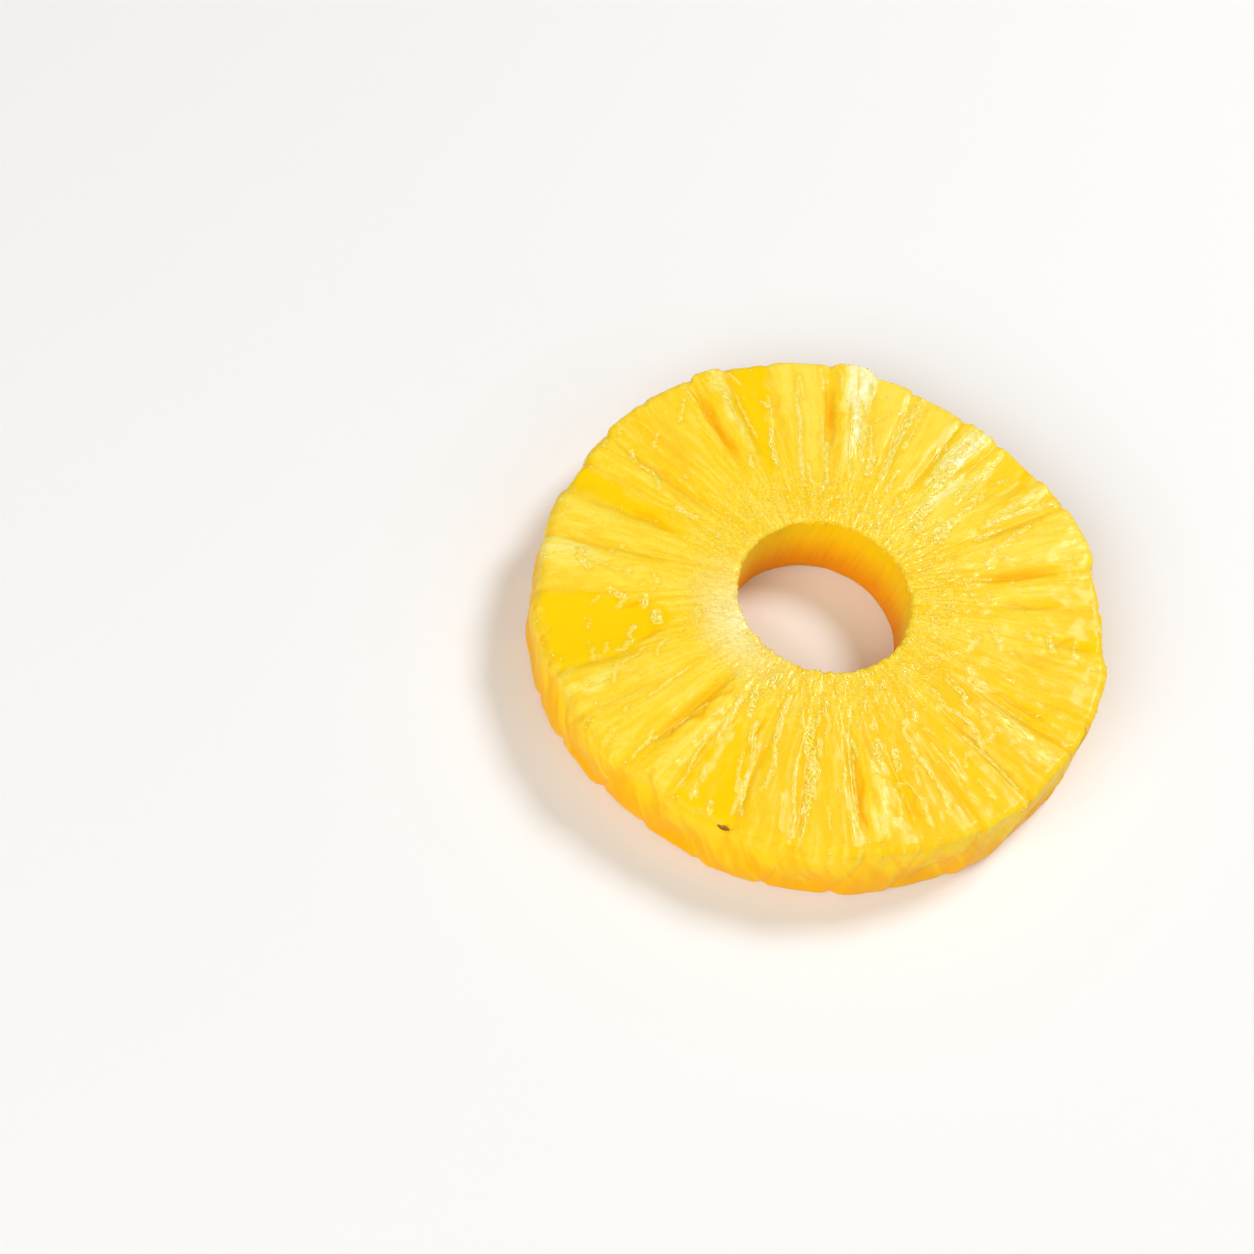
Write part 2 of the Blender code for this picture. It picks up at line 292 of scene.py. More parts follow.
# What the cut face shows, read by bearing and radius. Each mark: bearing at its inner and at
# its outer end, half width in degrees, inner and outer radius in millimetres, strength.
# Juicy ones are clear deep-yellow flesh, pale ones are fibre, cracks are the shaded seams;
# bloom and deep are broad parts a little lighter and deeper than the rest.
marks = {
    "juicy": [
        (13, 12.5, 3.2, 37.2, 42.3, 0.8), (57, 57.5, 1.6, 34.3, 43.5, 0.85),
        (59.5, 62.5, 2.2, 33, 42, 0.7), (93.3, 93.5, 1.6, 33.5, 40, 0.45),
        (106, 107, 1.2, 33.5, 42, 0.6), (128.8, 124.5, 4.2, 21.8, 43.5, 1),
        (153.5, 152.5, 2.6, 29, 38, 0.4), (176.5, 172.5, 3.4, 23, 42, 0.9),
        (213, 212.5, 9.2, 23.8, 42.4, 1), (259.5, 259.5, 2.8, 24.8, 42, 1),
        (264, 266.5, 3.4, 28.5, 42.8, 0.95), (287.5, 287, 1.8, 24, 42, 0.4),
        (306, 305.5, 2.8, 22, 40.5, 0.7), (311.5, 312.5, 1.8, 26, 42, 0.35),
        (325, 324.5, 2.8, 21.5, 42.5, 0.65), (348.5, 349.5, 2.6, 27, 42.5, 0.7),
        (21.8, 21.6, 1.2, 27.6, 35, 0.5), (31.6, 31.4, 1.3, 26, 37, 0.6), (4.5, 4.5, 1.4, 27.5, 37, 0.3),
        (136.5, 137.5, 2.2, 26, 41, 0.4),
    ],
    "pale": [
        (7.5, 7.5, 2, 37, 43.5, 0.45), (28.6, 28.2, 1.6, 24, 41, 0.5), (40, 40, 6, 39, 44, 0.4),
        (50.5, 51.5, 3.2, 28, 44, 0.5), (63.5, 64, 1.7, 27.5, 40, 0.6), (70.5, 70.8, 2.9, 25.6, 43.8, 1),
        (78, 79, 5, 40.5, 44, 0.3), (86.5, 86, 2.2, 23.5, 42.5, 0.45), (95.5, 96, 1.4, 25, 34, 0.7),
        (98.8, 99.5, 3.6, 32, 45, 1), (101.5, 102.5, 1.6, 25, 44, 0.75),
        (107, 108, 0.9, 19.5, 29.5, 0.6), (115.5, 114.5, 0.9, 18, 41, 0.3),
        (131.5, 132, 2.6, 25, 44.5, 0.7), (168.5, 167.5, 1.8, 29.5, 42.5, 0.4),
        (168, 168, 1, 22, 27.3, 0.6), (194, 193.5, 4.6, 32, 43.5, 0.66),
        (227.3, 227, 2, 31.5, 43.5, 0.65), (251.8, 250.5, 2.6, 22.5, 42.5, 0.55),
        (262, 260, 3.6, 13.8, 19.8, 0.6), (257.5, 258.5, 1.5, 20, 24.8, 0.5),
        (283.7, 282.8, 1.2, 26, 33, 0.6), (303.2, 299, 2, 25, 41, 0.75), (334, 333, 3.4, 24, 40, 0.4),
        (346, 340.5, 2.2, 25, 41, 0.6), (183, 183, 5.5, 33, 43, 0.35), (57, 56, 2.4, 19.5, 28, 0.7),
        (66.5, 66.5, 3.2, 18.5, 34, 0.8), (37, 37, 2.8, 20, 29, 0.6), (101, 100, 2.8, 23, 33, 0.8),
        (98, 98, 3, 27, 37, 0.9), (72, 72, 2, 20, 27, 0.65), (143, 143, 2.6, 23, 29, 0.25),
    ],
    "crack": [
        (31.6, 31.3, 0.45, 26, 35.5, 0.75), (21.7, 21.6, 0.45, 28, 33.5, 0.45),
        (12.4, 12.6, 0.6, 35, 38, 0.6), (105.3, 106.8, 0.7, 28, 38.5, 0.55),
        (137, 138, 1, 27.5, 40.5, 0.5), (161, 160.3, 0.6, 29.5, 33, 0.55),
        (165.5, 164, 0.7, 25.5, 29.5, 0.55), (153.8, 152, 1.4, 28.5, 37.5, 0.35),
        (176.8, 175.5, 1.8, 24, 31.5, 0.4), (250.3, 245.8, 0.9, 21.8, 36.5, 0.95),
        (297.8, 295.2, 0.7, 29.5, 39.5, 0.85), (301.5, 301, 1.3, 22, 28, 0.4),
        (349, 348.8, 1, 27.5, 37, 0.6), (342, 341, 1.2, 24, 31, 0.3),
        (207.5, 207.3, 0.8, 25.8, 30.3, 0.7), (217.5, 219.8, 0.8, 25.5, 29.8, 0.7),
        (264.5, 267.2, 0.7, 23.8, 28.8, 0.7), (227.5, 227.5, 0.5, 32, 35.5, 0.5),
        (4.8, 4.8, 0.9, 28, 36.5, 0.35), (47.2, 47, 0.8, 25, 35.5, 0.3),
        (308.2, 308, 1, 34.5, 38.5, 0.5), (57.5, 57.3, 0.5, 27, 34.5, 0.4),
        (67.5, 67.6, 0.5, 26, 35, 0.5), (88.7, 88.7, 0.8, 18.5, 22.5, 0.3), (93, 93, 0.5, 26, 34, 0.3),
        (120.2, 120, 0.6, 25, 42, 0.25), (189, 188.6, 0.6, 33, 42, 0.25),
        (320.5, 321, 0.6, 24, 34, 0.35), (332, 331, 0.7, 27, 40, 0.3), (282, 281, 0.6, 34, 41, 0.3),
    ],
    "bloom": [
        (39, 40, 6.5, 20, 44.5, 0.6), (62, 62, 9, 18, 36, 0.8), (82, 81, 5.5, 26, 44.5, 0.6),
        (95, 95, 7, 24, 44.5, 0.9), (113, 113, 6, 22, 44.5, 0.8), (184, 184, 5, 24, 44.5, 0.5),
        (200, 197, 5, 20, 44.5, 0.6), (230, 232, 7, 20, 44.5, 0.35), (8, 6, 5, 20, 30, 0.5),
    ],
    "deep": [
        (152, 152, 7, 26, 41, 0.5), (308, 308, 9, 14, 44.5, 0.8), (342, 342, 11, 14, 42, 0.7),
        (357, 357, 6, 14, 44.5, 0.7), (276, 272, 7, 14, 44.5, 0.6), (290, 290, 6, 14, 44.5, 0.6),
        (322, 322, 9, 14, 42, 0.85), (262, 262, 6, 28, 44.5, 0.6), (22, 22, 6, 34, 44.5, 0.6),
    ],
}
# How soft the border of each kind is, in millimetres
markSoftness = {"juicy": 1.4, "pale": 1.2, "crack": 0.30, "bloom": 2.5, "deep": 2.5}
# Marks open out from their inner end, and close again unless they reach the rim
markShape = {"opens": 0.45, "closes": 0.4, "rim": 41.0}
# The painted shade beside a crack, in degrees aside and in softness, and how dark the painted shade in the
# clefts is
shadeSizes = {"aside": 1.1, "soft": 1.1, "cleft": 1.5}
# The pale flush round the near side of the hole
coreGlow = {"bearing": 224.0, "half": 28.0, "full": 14.5, "fades": 22.5, "strength": 0.85}


def turnedAway(bearing, middle):
    return np.abs((bearing - middle + 180.0) % 360.0 - 180.0)


def wedgeMask(bearing, radius, mark, soft):
    innerMiddle, outerMiddle, half, low, high, strength = mark
    share = np.clip((radius - low) / (high - low), 0.0, 1.0)
    away = turnedAway(bearing, innerMiddle + (outerMiddle - innerMiddle) * share)
    opening = np.sqrt(np.minimum(share / markShape["opens"], 1.0))
    if high < markShape["rim"]:
        opening = opening * np.sqrt(np.minimum((1.0 - share) / markShape["closes"], 1.0))
    side = np.radians(half * opening - away) * radius
    ends = np.minimum(radius - low, high - radius)
    return strength * ramp(np.minimum(side, ends), -soft, soft)


def markMask(name, bearing, radius, soft):
    return functools.reduce(np.maximum, [wedgeMask(bearing, radius, mark, soft) for mark in marks[name]])


def glowMask(bearing, radius):
    near = ramp(radius, coreGlow["fades"], coreGlow["full"])
    return coreGlow["strength"] * near * bell(turnedAway(bearing, coreGlow["bearing"]), coreGlow["half"])


# How near a seam between two fruitlets the wall is
def seamMask(bearing, radius):
    place = locate(bearing)
    arc = np.minimum(place["fraction"], 1.0 - place["fraction"]) * np.radians(place["turn"]) * radius
    return bell(arc, ring["seamWidth"])


def addObject(name, data):
    thing = bpy.data.objects.new(name, data)
    bpy.context.scene.collection.objects.link(thing)
    return thing


# A mesh object, with values kept on its points
def meshPiece(name, points=(), edges=(), faces=(), values=None):
    mesh = bpy.data.meshes.new(name)
    mesh.from_pydata(points, edges, faces)
    for key, value in (values or {}).items():
        attribute = mesh.attributes.new(key, "FLOAT", "POINT")
        attribute.data.foreach_set("value", np.asarray(value, np.float32).ravel())
    return addObject(name, mesh)


def buildSkin(name):
    zones, *parts = zip(*skinBands())
    bearing, radius, height = [np.concatenate(part, axis=1) for part in parts]
    zone = np.repeat(zones, [part.shape[1] for part in parts[1]])[None, :]
    columns, rows = radius.shape
    a = np.radians(bearing)
    points = np.stack([radius * np.cos(a), radius * np.sin(a), height], axis=2).reshape(-1, 3) * mm
    index = np.arange(columns * rows).reshape(columns, rows)
    beside = np.roll(index, -1, axis=0)
    above = np.roll(index, -1, axis=1)
    corner = np.roll(beside, -1, axis=1)
    faces = np.stack([index, above, corner, beside], axis=2).reshape(-1, 4)
    onFace = (zone == "face") | (zone == "edge")
    waved = bearing + uneven("waver", bearing, radius, 0.0)
    values = {mark: markMask(mark, waved, radius, soft) for mark, soft in markSoftness.items()}
    # painted shade: a softer copy of the cracks, set a little aside, darkens one side of each
    values["crackSide"] = markMask("crack", waved + shadeSizes["aside"], radius, shadeSizes["soft"])
    values["glow"] = glowMask(bearing, radius)
    values["face"] = np.ones_like(radius)
    values = {key: value * onFace for key, value in values.items()}
    # painted shade: how deep the clefts are sets how much darker they are painted
    cleft = np.minimum(shadeSizes["cleft"] * cleftsAt(locate(bearing), radius), 1.0)
    values["cleft"] = cleft * (zone == "face")
    values.update({part: np.ones_like(radius) * (zone == part) for part in ("edge", "bore", "wall")})
    values["seam"] = seamMask(bearing, radius)
    skin = meshPiece(name, points.tolist(), faces=faces.tolist(), values=values)
    skin.data.shade_smooth()
    return skin


# Short hand for wiring node trees, for geometry and for materials
class Wiring:
    def __init__(self, tree):
        self.tree = tree

    def feed(self, socket, value):
        if isinstance(value, bpy.types.NodeSocket):
            self.tree.links.new(value, socket)
        elif value is not None:
            socket.default_value = value

    # Any node, its sockets fed by name or number
    def make(self, kind, feeds=None, **settings):
        made = self.tree.nodes.new(kind)
        for key, value in settings.items():
            setattr(made, key, value)
        for key, value in (feeds or {}).items():
            self.feed(made.inputs[key], value)
        return made

    def math(self, operation, a, b=None, c=None):
        return self.make("ShaderNodeMath", {0: a, 1: b, 2: c}, operation=operation).outputs[0]

    def add(self, *values):
        return functools.reduce(lambda a, b: self.math("ADD", a, b), values)

    def times(self, *values):
        return functools.reduce(lambda a, b: self.math("MULTIPLY", a, b), values)

    def rest(self, share):
        return self.math("SUBTRACT", 1.0, share)

    def most(self, a, b):
        return self.math("MAXIMUM", a, b)

    def vector(self, operation, a, b=None, scale=None):
        made = self.make("ShaderNodeVectorMath", {0: a, 1: b, 3: scale}, operation=operation)
        return made.outputs["Value"] if operation == "LENGTH" else made.outputs[0]

    def combine(self, x, y, z):
        return self.make("ShaderNodeCombineXYZ", {0: x, 1: y, 2: z}).outputs[0]

    def partsOf(self, vector):
        return self.make("ShaderNodeSeparateXYZ", {0: vector}).outputs

    def radiusOf(self, position):
        x, y, _ = self.partsOf(position)
        return self.vector("LENGTH", self.combine(x, y, 0.0))

    # A place moved some way along a direction
    def offset(self, place, way, distance):
        return self.vector("ADD", place, self.vector("SCALE", way, scale=distance))

    def ramp(self, value, low, high, first=0.0, last=1.0, smooth=True):
        feeds = dict(enumerate((value, low, high, first, last)))
        kind = "SMOOTHSTEP" if smooth else "LINEAR"
        return self.make("ShaderNodeMapRange", feeds, interpolation_type=kind).outputs[0]

    # The same for a radius or a height, its two limits in millimetres
    def between(self, value, limits):
        return self.ramp(value, limits[0] * mm, limits[1] * mm)

    # The same place in another part of a pattern
    def shifted(self, place, scale, shift):
        return self.vector("ADD", self.vector("SCALE", place, scale=scale), self.combine(shift, 0.0, 0.0))

    def noise(self, place, scale=1.0, detail=2.0, warp=0.0, shift=0.0):
        feeds = {"Vector": self.shifted(place, scale, shift), "Scale": 1.0}
        feeds.update({"Detail": detail, "Distortion": warp})
        return self.make("ShaderNodeTexNoise", feeds).outputs[0]

    def cells(self, place, scale=1.0, shift=0.0):
        feeds = {"Vector": self.shifted(place, scale, shift), "Scale": 1.0}
        return self.make("ShaderNodeTexVoronoi", feeds, feature="F1").outputs["Distance"]

    # A wandering vector, from -0.5 to 0.5 each way
    def drift(self, place, scale, shift):
        made = self.make("ShaderNodeTexNoise", {"Vector": self.shifted(place, scale, shift), "Scale": 1.0})
        return self.vector("SUBTRACT", made.outputs["Color"], (0.5, 0.5, 0.5))

    # A pattern's value from -1 to 1 instead of from 0 to 1
    def around(self, value):
        return self.math("MULTIPLY_ADD", value, 2.0, -1.0)

    def swing(self, value, *amounts):
        return self.times(self.around(value), *amounts)

    def perSize(self, size):
        return 1.0 / (size * mm) if isinstance(size, float) else self.math("DIVIDE", 1.0 / mm, size)

    # Noise whose spots have a size in millimetres
    def spots(self, place, size, **settings):
        return self.noise(place, scale=self.perSize(size), **settings)

    # A place whose grain runs outwards from the hole on the faces and down the walls: turns
    # sets how fine it is round the slice, run and fall how long it is in millimetres; twist
    # and lean slant it, in radians to a millimetre out or up
    def radial(self, position, turns, run, fall=None, twist=0.0, lean=0.0):
        x, y, z = self.partsOf(position)
        flat = self.combine(x, y, 0.0)
        radius = self.vector("LENGTH", flat)
        unit = self.vector("NORMALIZE", flat)
        if twist or lean:
            angle = self.add(self.times(radius, twist / mm), self.times(z, lean / mm))
            unit = self.make("ShaderNodeVectorRotate", {"Vector": unit, "Angle": angle},
                             rotation_type="Z_AXIS").outputs[0]
        outward = self.math("DIVIDE", radius, self.times(run, mm))
        down = self.math("DIVIDE", z, self.times(fall or run, mm))
        along = self.combine(0.0, 0.0, self.add(outward, down))
        return self.vector("ADD", self.vector("SCALE", unit, scale=turns), along)

    # Noise from a row of a table: round spots of a size, or streaks that run outwards
    def pattern(self, position, row, seed=None):
        shift = row["shift"] if seed is None else self.add(seed, row["shift"])
        settings = {key: row[key] for key in ("detail", "warp") if key in row}
        if "size" in row:
            return self.spots(position, row["size"], shift=shift, **settings)
        way = {key: row[key] for key in ("turns", "run", "fall", "twist", "lean") if key in row}
        return self.noise(self.radial(position, **way), shift=shift, **settings)

    def blend(self, factor, a, b):
        return self.make("ShaderNodeMix", {0: factor, 6: a, 7: b}, data_type="RGBA").outputs[2]

    def attribute(self, name):
        if self.tree.bl_idname == "GeometryNodeTree":
            return self.make("GeometryNodeInputNamedAttribute", {"Name": name}, data_type="FLOAT").outputs[0]
        return self.make("ShaderNodeAttribute", attribute_name=name).outputs["Fac"]

    def attributes(self, names):
        return [self.attribute(name) for name in names.split()]

    def random(self, low, high, seed):
        return self.make("FunctionNodeRandomValue", {2: low, 3: high, 8: seed}, data_type="FLOAT").outputs[1]

    def geometryOf(self, thing):
        return self.make("GeometryNodeObjectInfo", {"Object": thing}).outputs["Geometry"]

    def placed(self, geometry, position):
        return self.make("GeometryNodeSetPosition", {"Geometry": geometry, "Position": position}).outputs[0]

    # Points dropped straight down on the ground; those that would miss it are left out
    def drop(self, points, ground, rise):
        position = self.make("GeometryNodeInputPosition").outputs[0]
        ray = self.make("GeometryNodeRaycast", {
            "Target Geometry": ground, "Source Position": position,
            "Ray Direction": (0.0, 0.0, -1.0), "Ray Length": dropLength * mm,
        }).outputs
        missed = self.make("FunctionNodeBooleanMath", {0: ray["Is Hit"]}, operation="NOT").outputs[0]
        points = self.make("GeometryNodeDeleteGeometry", {"Geometry": points, "Selection": missed}).outputs[0]
        kept = self.make("GeometryNodeCaptureAttribute")
        kept.capture_items.new("VECTOR", "normal")
        self.feed(kept.inputs[0], points)
        self.feed(kept.inputs[1], ray["Hit Normal"])
        lifted = self.vector("ADD", ray["Hit Position"], self.combine(0.0, 0.0, self.times(rise, mm)))
        return self.placed(kept.outputs[0], lifted), kept.outputs[1]

    # Upright on the surface, its long side along the tangent, turned either way by chance
    def facing(self, normal, tangent, widest, seed):
        angle = self.random(self.times(widest, -1.0), widest, seed)
        upright = self.make("FunctionNodeAxesToRotation", {0: normal, 1: tangent},
                            primary_axis="Z", secondary_axis="X")
        turn = self.make("FunctionNodeAxisAngleToRotation", {"Axis": (0.0, 0.0, 1.0), "Angle": angle})
        both = self.make("FunctionNodeRotateRotation", {0: upright.outputs[0], 1: turn.outputs[0]},
                         rotation_space="LOCAL")
        return both.outputs[0]

    # The end of a geometry tree: real mesh, shaded smooth, in its material
    def dress(self, geometry, material):
        real = self.make("GeometryNodeRealizeInstances", {0: geometry})
        smooth = self.make("GeometryNodeSetShadeSmooth", {"Geometry": real.outputs[0]})
        dressed = self.make("GeometryNodeSetMaterial", {"Geometry": smooth.outputs[0], "Material": material})
        self.make("NodeGroupOutput", {0: dressed.outputs[0]})

    # The end of a material: its bump in millimetres, and the constants its finish gives
    def shade(self, base, rough, height, finish, wet=None):
        bump = self.make("ShaderNodeBump", {"Strength": 1.0, "Distance": mm, "Height": height})
        feeds = {"Base Color": base, "Roughness": rough, "Normal": bump.outputs[0], "Coat Weight": wet}
        feeds.update({socket: finish[key] for key, socket in finishSockets.items() if key in finish})
        shader = self.make("ShaderNodeBsdfPrincipled", feeds)
        self.make("ShaderNodeOutputMaterial", {"Surface": shader.outputs[0]})


# How far down a dropped point looks for the flesh, in millimetres
dropLength = 5.0
# What the constants of a finish are called on the shader
finishSockets = {
    "ior": "IOR",
    "gloss": "Specular IOR Level",
    "scatterShare": "Subsurface Weight",
    "scatter": "Subsurface Radius",
    "scatterDepth": "Subsurface Scale",
    "coatRoughness": "Coat Roughness",
    "coatIor": "Coat IOR",
}


def newMaterial(name):
    material = bpy.data.materials.new(name)
    material.use_nodes = True
    material.node_tree.nodes.clear()
    return material, Wiring(material.node_tree)


# A geometry tree with an input for each measure of a piece and each thing it works on
def newTree(name, measures, **things):
    tree = bpy.data.node_groups.new(name, "GeometryNodeTree")
    for way in ("INPUT", "OUTPUT"):
        tree.interface.new_socket("Geometry", in_out=way, socket_type="NodeSocketGeometry")
    sizes = {key: value if key == "seed" else float(value) for key, value in measures.items()}
    sizes.update(things)
    kinds = {float: "NodeSocketFloat", int: "NodeSocketInt", bpy.types.Material: "NodeSocketMaterial"}
    for key, value in sizes.items():
        kind = kinds.get(type(value), "NodeSocketObject")
        tree.interface.new_socket(key, in_out="INPUT", socket_type=kind)
    w = Wiring(tree)
    return tree, sizes, w, w.make("NodeGroupInput").outputs


# Runs a tree on an object and leaves a plain mesh
def runTree(piece, tree, sizes):
    modifier = piece.modifiers.new(tree.name, "NODES")
    modifier.node_group = tree
    for item in tree.interface.items_tree:
        if item.in_out == "INPUT" and item.name in sizes:
            modifier[item.identifier] = sizes[item.name]
    bpy.context.view_layer.update()
    graph = bpy.context.evaluated_depsgraph_get()
    made = bpy.data.meshes.new_from_object(piece.evaluated_get(graph), depsgraph=graph)
    made.name = piece.name
    made.materials.clear()
    made.materials.append(sizes["material"])
    made.polygons.foreach_set("material_index", [0] * len(made.polygons))
    piece.modifiers.remove(modifier)
    piece.data = made
    return piece


